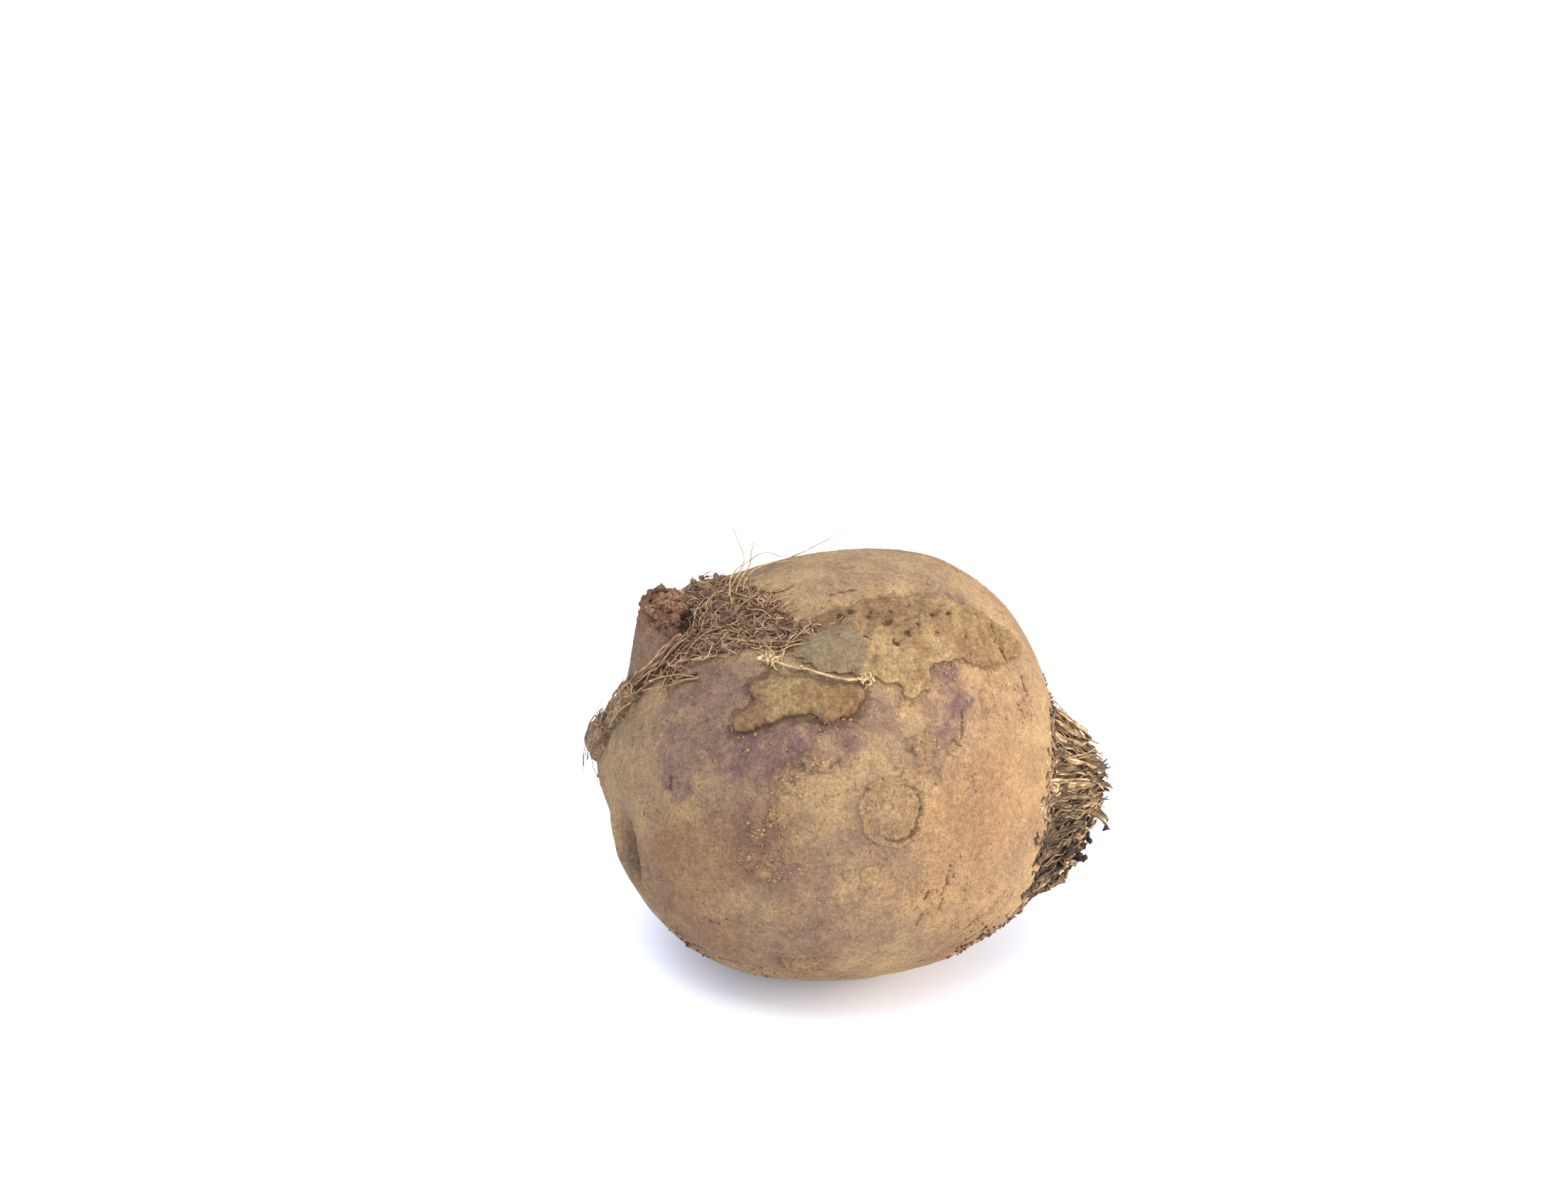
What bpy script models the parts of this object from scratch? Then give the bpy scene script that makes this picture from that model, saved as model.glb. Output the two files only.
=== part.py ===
"""A beetroot as it is lifted from the field: a globe with a snapped tail and dried leaf bases.

The root lies on a small flat spot on the plane z = 0, whose middle is the origin. The tail end
looks towards -X and up, the crown towards +X and a little down, and -Y is the side that is seen.
Places on the root are given as directions from the middle of the globe, a longitude round +Z
counted from +X and a latitude above the horizontal, both in degrees. Lengths are in millimetres
and MM turns them into metres.
"""

import math
import random

import bmesh
import bpy
from mathutils import Vector, noise
from mathutils.bvhtree import BVHTree

MM = 0.001

# The globe
HALF_LENGTH = 45.5
HALF_WIDTH = 45.0
HALF_HEIGHT = 44.0
REST_CUT = 1.2                       # how much of the lowest bulge the flat spot takes away
MIDDLE = Vector((0.0, 0.0, HALF_HEIGHT - REST_CUT))
SEGMENTS = 60
GLOBE_RINGS = 38

# Swellings and hollows of the globe: longitude, latitude, height, and how far each one spreads
BROAD = 26.0
NARROW = 10.0
SWELLINGS = (
    (0.0, 25.0, 3.3, BROAD),
    (25.0, 50.0, 4.0, BROAD),
    (75.0, 60.0, -1.0, BROAD),
    (125.0, 50.0, -1.0, BROAD),
    (150.0, 25.0, -2.0, BROAD),
    (165.0, 0.0, 1.0, BROAD),
    (-155.0, -50.0, 1.5, BROAD),
    (-105.0, -60.0, -1.0, BROAD),
    (-30.0, -25.0, 4.0, BROAD),
    (-42.0, -45.0, 1.0, BROAD),
    (160.0, 53.0, 4.2, NARROW),
    (178.0, -12.0, -1.8, NARROW),
    (168.0, 6.0, 1.0, NARROW),
)

# The two furrows that the side rootlets grow from, as places with their depths
TOP_FURROW_WIDTH = 5.5
TOP_FURROW = ((176.0, 54.0, 0.0), (-170.0, 56.0, 1.5), (-155.0, 60.0, 2.5), (-135.0, 64.0, 2.0),
              (-110.0, 66.0, 0.8), (-90.0, 66.0, 0.0))
SIDE_FURROW_WIDTH = 3.8
SIDE_FURROW = ((180.0, 24.0, 0.0), (176.0, 12.0, 0.8), (-178.0, 3.0, 1.2), (-168.0, 0.0, 1.8),
               (-160.0, -4.0, 2.4), (-157.5, -11.0, 2.4), (-157.0, -18.0, 1.5), (-156.0, -26.0, 0.0))

# The tail: the globe's last rings are drawn out into a stub, which is snapped off askew
TAIL_WAY = (180.0, 41.0)
NECK_EDGE = 18.0
NECK_RINGS = 8
NECK_REACH = 4.5
NECK_SLIMMING = 3.2
STUB_TOP = Vector((-31.6, -0.2, 44.0))   # from the middle, before the end is snapped off
STUB_RADIUS = 4.1
SNAP_POINT = Vector((-31.6, -0.2, 39.3))
SNAP_TILT = 35.0

CROWN_WAY = (-4.0, -17.0)

# The crust of dried leaf bases: a mound with a thin ragged brim, and blades that stand out of it
MOUND_HEIGHT = 7.5
MOUND_EDGE = 25.5
BRIM_EDGE = 27.5
BRIM_WIDENING = 5.0
BRIM_JAG = 1.4
BRIM_THICKNESS = 0.8
CROWN_SPOKES = 36
CROWN_ROWS = 5
TUFT_TIP_WAY = (-4.0, -11.0)
TUFT_TIP_REACH = 61.5
BLADE_THICKNESS = 0.9
BLADE_THINNING = 0.25                # the share of its thickness that a blade loses towards its tip
BLADE_ROOT_LIFT = 0.9                # a blade's foot lies this far inside the mound
BLADE_STEPS = 3
CROWN_SEED = 12
# Whorls of blades: how many, degrees from the crown's axis, length, outward lean, width
WHORLS = (
    (6, 5.0, 14.5, 0.00, 3.4),
    (9, 12.0, 14.5, 0.02, 3.8),
    (12, 18.5, 15.0, 0.06, 4.2),
    (16, 24.5, 13.0, 0.14, 4.4),
    (14, 26.5, 3.8, 0.85, 3.0),
)
FUSE_SOLVER = "MANIFOLD"             # the exact solver leaves open edges in the crown

# What lies on the skin keeps a hair's breadth from it
GAP = 0.3
FELT_THICKNESS = 1.0
FELT_EDGE = 0.5
CRUST_THICKNESS = 1.2
CRUST_EDGE = 0.5
LUMPS_PER_RADIUS = 12.0
LUMP_SHARE = 0.3                     # how much of a crust's thickness its lumps add or take

# The upper cake of dried soil, as the directions of its ragged edge, and the tongue below it
UPPER_CAKE_MIDDLE = (-70.0, 56.0)
UPPER_CAKE_EDGE = ((-114.0, 62.0), (-112.0, 66.5), (-98.0, 70.5), (-62.0, 72.0), (-27.0, 64.0),
                   (-19.0, 55.0), (-17.0, 47.0), (-14.0, 40.0), (-18.0, 35.0), (-31.0, 38.5),
                   (-43.0, 43.5), (-49.0, 45.0), (-58.0, 47.0), (-65.0, 43.5), (-75.0, 41.5),
                   (-78.0, 46.5), (-86.0, 48.5), (-92.0, 50.5), (-102.0, 52.0), (-111.0, 53.5),
                   (-118.0, 56.5))
TONGUE_MIDDLE = (-113.0, 44.0)
TONGUE_EDGE = ((-130.0, 45.5), (-124.0, 49.0), (-112.0, 49.0), (-98.0, 47.0), (-89.0, 45.5),
               (-89.0, 43.0), (-94.0, 40.0), (-103.0, 37.5), (-107.0, 40.5), (-114.0, 39.0),
               (-121.0, 36.5), (-127.5, 33.0), (-132.0, 34.5), (-131.0, 38.0), (-127.0, 41.5))

# The felts that the rootlets are matted into, and the rootlets themselves: longitude, latitude
# and how high the rootlet's axis runs above the skin
TOP_FELT_MIDDLE = (-155.0, 63.0)
TOP_FELT_EDGE = ((176.0, 57.5), (171.0, 63.0), (179.0, 69.0), (-163.0, 72.5), (-138.0, 72.0),
                 (-126.0, 68.5), (-120.5, 65.0), (-121.5, 61.0), (-129.0, 57.5), (-141.0, 54.5),
                 (-155.0, 53.0), (-169.0, 52.5), (-179.0, 54.5))
SIDE_FELT_MIDDLE = (176.0, 17.0)
SIDE_FELT_EDGE = ((-172.0, 31.0), (180.0, 28.0), (171.0, 18.0), (163.0, 8.0), (165.0, 3.0),
                  (172.0, 7.0), (180.0, 16.0), (-172.0, 26.0))
ROOTLET_RADIUS = 0.6
THICK_ROOTLET_RADIUS = 0.75
ROOTLET_THINNING = 0.45              # the share of its radius that a rootlet loses towards its end
ROOTLET_SIDES = 5
ROOTLET_STEPS = 3                    # how many stretches of tube lie between two stations
TOP_ROOTLETS = (
    ((173.0, 60.0, 1.2), (-175.0, 61.0, 2.4), (-160.0, 60.0, 2.6), (-143.0, 62.0, 2.4),
     (-125.0, 63.0, 1.0)),
    ((-179.0, 69.0, 1.2), (-172.0, 64.0, 2.8), (-163.0, 59.0, 3.0), (-152.0, 55.0, 2.2),
     (-143.0, 56.0, 1.2)),
    ((-160.0, 71.5, 1.2), (-165.0, 66.0, 3.2), (-170.0, 60.0, 3.6), (-176.0, 56.0, 2.2)),
    ((-136.0, 70.0, 1.2), (-148.0, 67.0, 2.6), (-158.0, 63.0, 2.2), (-170.0, 62.0, 1.2)),
    ((-122.5, 66.0, 1.0), (-131.0, 66.0, 2.2), (-142.0, 62.0, 3.2), (-150.0, 58.0, 2.6),
     (-158.0, 55.0, 1.2)),
    ((-122.0, 62.5, 1.0), (-129.0, 61.0, 1.8), (-138.0, 58.0, 2.2), (-150.0, 54.5, 1.2)),
    ((174.0, 66.0, 1.2), (-172.0, 68.0, 2.2), (-150.0, 69.0, 2.4), (-129.0, 68.0, 1.2)),
    ((-168.0, 69.0, 1.2), (-152.0, 65.0, 2.8), (-136.0, 60.0, 2.6), (-126.0, 60.0, 1.0)),
    ((-146.0, 71.0, 1.2), (-145.0, 65.0, 3.4), (-150.0, 60.0, 3.4), (-149.0, 55.0, 1.6)),
    ((175.0, 58.0, 1.2), (-178.0, 63.0, 3.2), (-168.0, 66.0, 3.6), (-156.0, 66.0, 2.2)),
    ((-176.0, 54.5, 1.2), (-165.0, 57.0, 3.4), (-155.0, 62.0, 3.8), (-143.0, 66.0, 2.6),
     (-130.0, 69.0, 1.2)),
    ((-134.0, 59.0, 1.0), (-130.0, 63.0, 2.6), (-134.0, 67.0, 2.2), (-140.0, 70.0, 1.2)),
)
# Two rootlets that have come loose at the far end of the top felt and stand up from it
STANDING_ROOTLETS = (
    ((-174.0, 65.0, 1.0), (174.0, 67.5, 1.8), (160.0, 69.0, 2.6), (151.0, 69.0, 5.0),
     (147.0, 67.0, 8.4), (143.0, 64.5, 10.6)),
    ((-172.0, 68.0, 1.0), (172.0, 70.0, 1.8), (157.0, 71.0, 2.4), (149.0, 71.0, 3.8),
     (144.0, 71.5, 6.2)),
)
# Long rootlets of the top felt, which cross the front of the neck towards the side furrow
NECK_ROOTLETS = (
    ((-176.0, 59.0, 1.0), (-173.0, 54.0, 1.8), (-170.0, 48.0, 1.5), (-170.0, 42.0, 1.3),
     (-173.0, 37.0, 1.1)),
    ((-168.0, 57.0, 1.0), (-164.0, 52.0, 1.8), (-161.0, 46.0, 1.4), (-163.0, 40.0, 1.3),
     (-168.0, 34.0, 1.1)),
    ((-160.0, 58.0, 1.0), (-155.0, 51.0, 1.6), (-154.0, 45.0, 1.3), (-159.0, 39.0, 1.1)),
    ((-150.0, 57.0, 1.0), (-147.0, 50.0, 1.5), (-150.0, 45.0, 1.1)),
)
SIDE_ROOTLETS = (
    ((-176.0, 34.5, 1.1), (-178.0, 29.0, 1.5), (175.0, 22.0, 1.8), (169.0, 14.0, 1.6)),
    ((-170.5, 31.0, 1.1), (-175.0, 26.0, 1.5), (179.0, 19.0, 1.8), (173.0, 10.0, 1.4)),
    ((-177.0, 27.0, 1.2), (-173.0, 23.0, 2.4), (-180.0, 17.0, 3.0), (175.0, 20.0, 2.4),
     (-180.0, 25.0, 1.2)),
    ((176.0, 21.0, 1.2), (169.0, 15.0, 2.8), (171.0, 9.0, 3.6), (177.0, 12.0, 3.0),
     (174.0, 18.0, 1.4)),
    ((169.0, 14.0, 1.2), (163.0, 8.0, 3.2), (166.0, 3.0, 3.6), (172.0, 7.0, 2.6),
     (169.0, 12.0, 1.2)),
    ((166.0, 10.0, 1.0), (164.0, 5.0, 2.0), (168.0, 5.0, 2.6), (171.0, 8.0, 1.0)),
)

# A pale rootlet that lies on the edges of both cakes
PALE_RADIUS = 0.8
PALE_ROOTLET = ((-130.0, 52.5, 2.6), (-124.0, 51.0, 2.7), (-117.0, 52.0, 2.7), (-110.0, 51.5, 2.7),
                (-102.0, 50.0, 2.7), (-95.0, 48.5, 2.7), (-89.0, 48.0, 2.7), (-85.0, 46.5, 2.4))


def way(longitude, latitude):
    """The unit direction of a place on the root."""
    lon, lat = math.radians(longitude), math.radians(latitude)
    return Vector((math.cos(lat) * math.cos(lon), math.cos(lat) * math.sin(lon), math.sin(lat)))


def globe_radius(direction):
    """How far the skin lies from the middle in a direction, in millimetres."""
    x, y, z = direction
    radius = 1.0 / math.sqrt((x / HALF_LENGTH) ** 2 + (y / HALF_WIDTH) ** 2 + (z / HALF_HEIGHT) ** 2)
    for longitude, latitude, height, spread in SWELLINGS:
        off = math.degrees(direction.angle(way(longitude, latitude)))
        radius += height * math.exp(-((off / spread) ** 2))
    radius -= furrow_depth(direction, TOP_FURROW, TOP_FURROW_WIDTH)
    radius -= furrow_depth(direction, SIDE_FURROW, SIDE_FURROW_WIDTH)
    return radius


def furrow_depth(direction, stations, width):
    """How deep a furrow is in a direction: it fades to both sides of its line of stations."""
    nearest, depth = math.inf, 0.0
    for start, end in zip(stations, stations[1:]):
        first, second = way(*start[:2]), way(*end[:2])
        run = second - first
        share = max(0.0, min(1.0, (direction - first).dot(run) / run.length_squared))
        distance = (direction - first - run * share).length * HALF_WIDTH
        if distance < nearest:
            nearest, depth = distance, start[2] + (end[2] - start[2]) * share
    return depth * math.exp(-((nearest / width) ** 2))


def across(axis):
    """Two unit directions square to an axis, the first of them level."""
    level = Vector((0.0, 1.0, 0.0)).cross(axis).normalized()
    return level, axis.cross(level)


def globe_point(polar, turn):
    """A point of the globe. Its rings turn from the tail's direction to the crown's."""
    share = polar / 180.0
    ease = share * share * (3.0 - 2.0 * share)
    axis = way(*TAIL_WAY).slerp(-way(*CROWN_WAY), ease)
    first, second = across(axis)
    angle = math.radians(polar)
    direction = axis * math.cos(angle)
    direction += (first * math.cos(turn) + second * math.sin(turn)) * math.sin(angle)
    return direction * globe_radius(direction)


def neck_point(share, turn, foot, foot_radius):
    """A point of the tail, whose share runs from 0 at the globe to 1 at its tip."""
    out = way(*TAIL_WAY)
    bend = foot + out * NECK_REACH
    middle = foot * (1 - share) ** 2 + bend * 2 * share * (1 - share) + STUB_TOP * share ** 2
    along = out.slerp((STUB_TOP - bend).normalized(), share ** 1.6)
    first, second = across(along)
    radius = STUB_RADIUS + (foot_radius - STUB_RADIUS) * (1 - share) ** NECK_SLIMMING
    ring = (first * math.cos(turn) + second * math.sin(turn)) * radius
    foot_first, foot_second = across(out)
    round_foot = foot + (foot_first * math.cos(turn) + foot_second * math.sin(turn)) * foot_radius
    unevenness = globe_point(NECK_EDGE, turn) - round_foot
    return middle + ring + unevenness * (1 - share) ** 2


def make_root_mesh():
    """The globe, its tail and its flat spot as one bmesh, from a sphere whose rings are moved."""
    rings = NECK_RINGS + GLOBE_RINGS
    bm = bmesh.new()
    bmesh.ops.create_uvsphere(bm, u_segments=SEGMENTS, v_segments=rings, radius=1.0)
    turns = [2 * math.pi * k / SEGMENTS for k in range(SEGMENTS)]
    foot_ring = [globe_point(NECK_EDGE, turn) for turn in turns]
    foot = sum(foot_ring, Vector()) / SEGMENTS
    foot_radius = sum((point - foot).length for point in foot_ring) / SEGMENTS
    for vert in bm.verts:
        ring = round(math.acos(max(-1.0, min(1.0, vert.co.z))) / math.pi * rings)
        turn = math.atan2(vert.co.y, vert.co.x)
        if ring == 0:
            place = STUB_TOP
        elif ring < NECK_RINGS:
            place = neck_point(1 - (ring - 1) / (NECK_RINGS - 1), turn, foot, foot_radius)
        else:
            share = (ring - NECK_RINGS) / GLOBE_RINGS
            place = globe_point(NECK_EDGE + (180.0 - NECK_EDGE) * share, turn)
        vert.co = (place + MIDDLE) * MM
        vert.tag = ring < NECK_RINGS - 2
    bmesh.ops.recalc_face_normals(bm, faces=bm.faces)
    tilt = math.radians(SNAP_TILT)
    stub = [face for face in bm.faces if all(vert.tag for vert in face.verts)]
    slice_off(bm, stub, (SNAP_POINT + MIDDLE) * MM, Vector((0.0, -math.sin(tilt), math.cos(tilt))))
    slice_off(bm, list(bm.faces), Vector((0.0, 0.0, 0.0)), Vector((0.0, 0.0, -1.0)))
    return bm


def slice_off(bm, faces, point, outward):
    """Cut away what of some faces lies beyond a plane and close the cut with one flat face."""
    edges = {edge for face in faces for edge in face.edges}
    verts = {vert for face in faces for vert in face.verts}
    cut = bmesh.ops.bisect_plane(bm, geom=list(verts) + list(edges) + faces, dist=1e-6,
                                 plane_co=point, plane_no=outward, clear_outer=True)
    rim = [item for item in cut["geom_cut"] if isinstance(item, bmesh.types.BMEdge)]
    bmesh.ops.contextual_create(bm, geom=rim)
    bmesh.ops.recalc_face_normals(bm, faces=bm.faces)


def ring_faces(bm, inner, outer):
    """Join two closed rows of points, which have as many points each, with a band of quads."""
    for k, point in enumerate(outer):
        bm.faces.new((inner[k], point, outer[k - 1], inner[k - 1]))


def smooth_loop(points, count):
    """Evenly numbered points on a closed curve through the given ones."""
    loop = []
    for k in range(count):
        place = k * len(points) / count
        start = int(place)
        share = place - start
        before, first, second, after = (points[(start + n) % len(points)] for n in (-1, 0, 1, 2))
        loop.append(curve_between(before, first, second, after, share))
    return loop


def curve_between(before, first, second, after, share):
    """A point between two others of a smooth curve, which the points beside them steer."""
    leave, arrive = (second - before) / 2, (after - first) / 2
    square, cube = share ** 2, share ** 3
    point = first * (2 * cube - 3 * square + 1) + second * (3 * square - 2 * cube)
    return point + leave * (cube - 2 * square + share) + arrive * (cube - square)


def smooth_line(points, steps):
    """Points on an open smooth curve through the given ones, with some steps in each stretch."""
    ends = [points[0] * 2 - points[1]] + list(points) + [points[-1] * 2 - points[-2]]
    line = []
    for before, first, second, after in zip(ends, ends[1:], ends[2:], ends[3:]):
        line += [curve_between(before, first, second, after, k / steps) for k in range(steps)]
    return line + [points[-1]]


class Skin:
    """The finished surface of the root, for what lies on it."""

    def __init__(self, bm):
        self.tree = BVHTree.FromBMesh(bm)

    def at(self, direction):
        """The point of the skin in a direction from the middle, and its outward normal, in metres."""
        guide = (MIDDLE + direction * globe_radius(direction)) * MM
        point, normal, _, _ = self.tree.find_nearest(guide)
        return point, normal

    def above(self, direction, height):
        point, normal = self.at(direction)
        return point + normal * height * MM


def coat(skin, centre, edge, rows, rise):
    """A closed layer on the skin. Its foot keeps the gap, and its top lies `rise` above its foot.

    The edge is a closed row of directions, and rise gets how far out a point is, from 0 at the
    centre to 1 at the edge, and its direction. It gives millimetres."""
    bm = bmesh.new()
    tops, feet = [], []
    for row in range(1, rows + 1):
        out = row / rows
        top_row, foot_row = [], []
        for k in range(len(edge)):
            direction = (centre * (1 - out) + edge[k] * out).normalized()
            foot = skin.above(direction, GAP)
            top_row.append(bm.verts.new(foot + rise(out, direction) * MM))
            foot_row.append(bm.verts.new(foot))
        tops.append(top_row)
        feet.append(foot_row)
    foot = skin.above(centre, GAP)
    summit = bm.verts.new(foot + rise(0.0, centre) * MM)
    bottom = bm.verts.new(foot)
    for k in range(len(edge)):
        bm.faces.new((summit, tops[0][k], tops[0][k - 1]))
        bm.faces.new((bottom, feet[0][k - 1], feet[0][k]))
    for row in range(rows - 1):
        ring_faces(bm, tops[row], tops[row + 1])
        ring_faces(bm, feet[row + 1], feet[row])
    ring_faces(bm, tops[-1], feet[-1])
    bmesh.ops.recalc_face_normals(bm, faces=bm.faces)
    return bm


def tube(line, radii, sides):
    """A closed round strand along a line of points in metres, with its radii in millimetres."""
    bm = bmesh.new()
    rows = []
    side = Vector((0.0, 0.0, 1.0))
    for k, (point, radius) in enumerate(zip(line, radii)):
        along = (line[min(k + 1, len(line) - 1)] - line[max(k - 1, 0)]).normalized()
        side = (side - along * side.dot(along)).normalized()
        other = along.cross(side)
        row = []
        for n in range(sides):
            turn = 2 * math.pi * n / sides
            spoke = side * math.cos(turn) + other * math.sin(turn)
            row.append(bm.verts.new(point + spoke * radius * MM))
        rows.append(row)
    for inner, outer in zip(rows, rows[1:]):
        ring_faces(bm, inner, outer)
    bm.faces.new(rows[0])
    bm.faces.new(rows[-1])
    bmesh.ops.recalc_face_normals(bm, faces=bm.faces)
    return bm


def blade(foot, bend, tip, face, width, tip_width):
    """A flat dried leaf base. It is bent along foot, bend and tip, and its flat side looks to face."""
    bm = bmesh.new()
    rows = []
    for k in range(BLADE_STEPS + 1):
        share = k / BLADE_STEPS
        point = foot * (1 - share) ** 2 + bend * 2 * share * (1 - share) + tip * share ** 2
        along = ((bend - foot) * (1 - share) + (tip - bend) * share).normalized()
        wide = along.cross(face).normalized()
        thick = wide.cross(along)
        half = (width + (tip_width - width) * share) / 2 * MM
        deep = BLADE_THICKNESS / 2 * (1.0 - BLADE_THINNING * share) * MM
        rows.append([bm.verts.new(point + wide * half * a + thick * deep * b)
                     for a, b in ((1, 1), (-1, 1), (-1, -1), (1, -1))])
    for inner, outer in zip(rows, rows[1:]):
        ring_faces(bm, inner, outer)
    bm.faces.new(rows[0])
    bm.faces.new(rows[-1])
    bmesh.ops.recalc_face_normals(bm, faces=bm.faces)
    return bm


def strand(skin, stations, radius):
    """A rootlet along places on the skin, each with the height of its axis above the skin."""
    points = [skin.above(way(lon, lat), lift) for lon, lat, lift in stations]
    line = smooth_line(points, ROOTLET_STEPS)
    count = len(line) - 1
    radii = [radius * (1.0 - ROOTLET_THINNING * (k / count) ** 2) for k in range(count + 1)]
    return tube(line, radii, ROOTLET_SIDES)


def fuse(name, core, pieces, material):
    """Join the pieces to their core as one closed body, and drop any scrap that hangs loose."""
    obj = place_object(name, core, material)
    bundle = bpy.data.collections.new(name + " pieces")
    bpy.context.scene.collection.children.link(bundle)
    for k, piece in enumerate(pieces):
        loose = place_object(f"{name} piece {k}", piece, material)
        bpy.context.scene.collection.objects.unlink(loose)
        bundle.objects.link(loose)
    union = obj.modifiers.new("union", "BOOLEAN")
    union.operation = "UNION"
    union.operand_type = "COLLECTION"
    union.collection = bundle
    union.solver = FUSE_SOLVER
    graph = bpy.context.evaluated_depsgraph_get()
    mesh = bpy.data.meshes.new_from_object(obj.evaluated_get(graph))
    obj.modifiers.clear()
    for loose in list(bundle.objects):
        bpy.data.objects.remove(loose, do_unlink=True)
    bpy.data.collections.remove(bundle)
    obj.data = keep_largest(mesh)
    obj.data.name = name
    return obj


def keep_largest(mesh):
    """The mesh without the scraps that its largest body doesn't hold."""
    bm = bmesh.new()
    bm.from_mesh(mesh)
    bmesh.ops.triangulate(bm, faces=bm.faces)
    left, bodies = set(bm.verts), []
    while left:
        front = [left.pop()]
        body = set(front)
        while front:
            vert = front.pop()
            near = {edge.other_vert(vert) for edge in vert.link_edges} - body
            body |= near
            front += near
        left -= body
        bodies.append(body)
    largest = max(bodies, key=len)
    bmesh.ops.delete(bm, geom=[vert for vert in bm.verts if vert not in largest], context="VERTS")
    bm.to_mesh(mesh)
    bm.free()
    return mesh


def make_cake(skin, middle, edge, spokes, rows):
    """A thin cake of dried soil, bumpy on top and thinner at its ragged edge."""
    rim = smooth_loop([way(*place) for place in edge], spokes)

    def rise(out, direction):
        thickness = CRUST_THICKNESS + (CRUST_EDGE - CRUST_THICKNESS) * out ** 4
        lump = LUMP_SHARE * noise.noise(direction * LUMPS_PER_RADIUS)
        return direction * thickness * (1.0 + lump)

    return coat(skin, way(*middle), rim, rows, rise)


def make_felt(skin, middle, edge, spokes, rows):
    """The thin felt of fine rootlets and soil that the thick ones stand out of."""
    rim = smooth_loop([way(*place) for place in edge], spokes)

    def rise(out, direction):
        return direction * (FELT_THICKNESS + (FELT_EDGE - FELT_THICKNESS) * out ** 3)

    return coat(skin, way(*middle), rim, rows, rise)


def brim_edge(turn, rng):
    """How far the crown's brim reaches from the crown's axis, in degrees."""
    widest = max(0.0, -math.sin(turn)) ** 2 + 0.8 * max(0.0, math.sin(turn)) ** 6
    return BRIM_EDGE + BRIM_WIDENING * widest + rng.uniform(-BRIM_JAG, BRIM_JAG)


def make_crown(skin, material):
    """The dried leaf bases: whorls of torn blades on a mound, which lean in towards its tip."""
    rng = random.Random(CROWN_SEED)
    axis = way(*CROWN_WAY)
    level, upright = across(axis)
    level = -level

    def round_the_crown(turn, off):
        spoke = level * math.cos(turn) + upright * math.sin(turn)
        return axis * math.cos(math.radians(off)) + spoke * math.sin(math.radians(off))

    turns = [2 * math.pi * k / CROWN_SPOKES for k in range(CROWN_SPOKES)]
    rim = [round_the_crown(turn, brim_edge(turn, rng)) for turn in turns]

    def rise(out, direction):
        mound = max(0.0, 1.0 - (out * BRIM_EDGE / MOUND_EDGE) ** 1.1)
        return direction * BRIM_THICKNESS + axis * MOUND_HEIGHT * mound

    core = coat(skin, axis, rim, CROWN_ROWS, rise)
    tip = (MIDDLE + way(*TUFT_TIP_WAY) * TUFT_TIP_REACH) * MM
    blades = []
    for count, off, length, lean, width in WHORLS:
        for k in range(count):
            turn = 2 * math.pi * (k + rng.uniform(-0.3, 0.3)) / count
            place = off + rng.uniform(-1.5, 1.5)
            way_out = round_the_crown(turn, place)
            away = (round_the_crown(turn, place + 1.0) - way_out).normalized()
            foot = skin.above(way_out, GAP + BLADE_ROOT_LIFT)
            to_tip = (tip - foot).normalized()
            tilt = (to_tip * (1.0 - lean) + away * lean).normalized()
            size = length * rng.uniform(0.8, 1.15) * MM
            end = foot + tilt * size + way_out * rng.uniform(-0.2, 0.9) * MM
            bend = foot + (way_out * 0.25 + tilt * 0.75).normalized() * size * 0.5
            face = (way_out + away * 0.8).normalized()
            wide = width * rng.uniform(0.8, 1.2)
            blades.append(blade(foot, bend, end, face, wide, wide * rng.uniform(0.35, 0.7)))
    return fuse("crown_leaf_bases", core, blades, material)


def make_material(name, colour, roughness):
    material = bpy.data.materials.new(name)
    material.use_nodes = True
    shader = material.node_tree.nodes["Principled BSDF"]
    shader.inputs["Base Color"].default_value = (*colour, 1.0)
    shader.inputs["Roughness"].default_value = roughness
    return material


def place_object(name, bm, material):
    """Turn a finished bmesh into a named object with its material."""
    mesh = bpy.data.meshes.new(name)
    bm.to_mesh(mesh)
    bm.free()
    mesh.materials.append(material)
    mesh.shade_smooth()
    obj = bpy.data.objects.new(name, mesh)
    bpy.context.scene.collection.objects.link(obj)
    return obj


def clear_scene():
    for obj in list(bpy.data.objects):
        bpy.data.objects.remove(obj, do_unlink=True)


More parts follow.
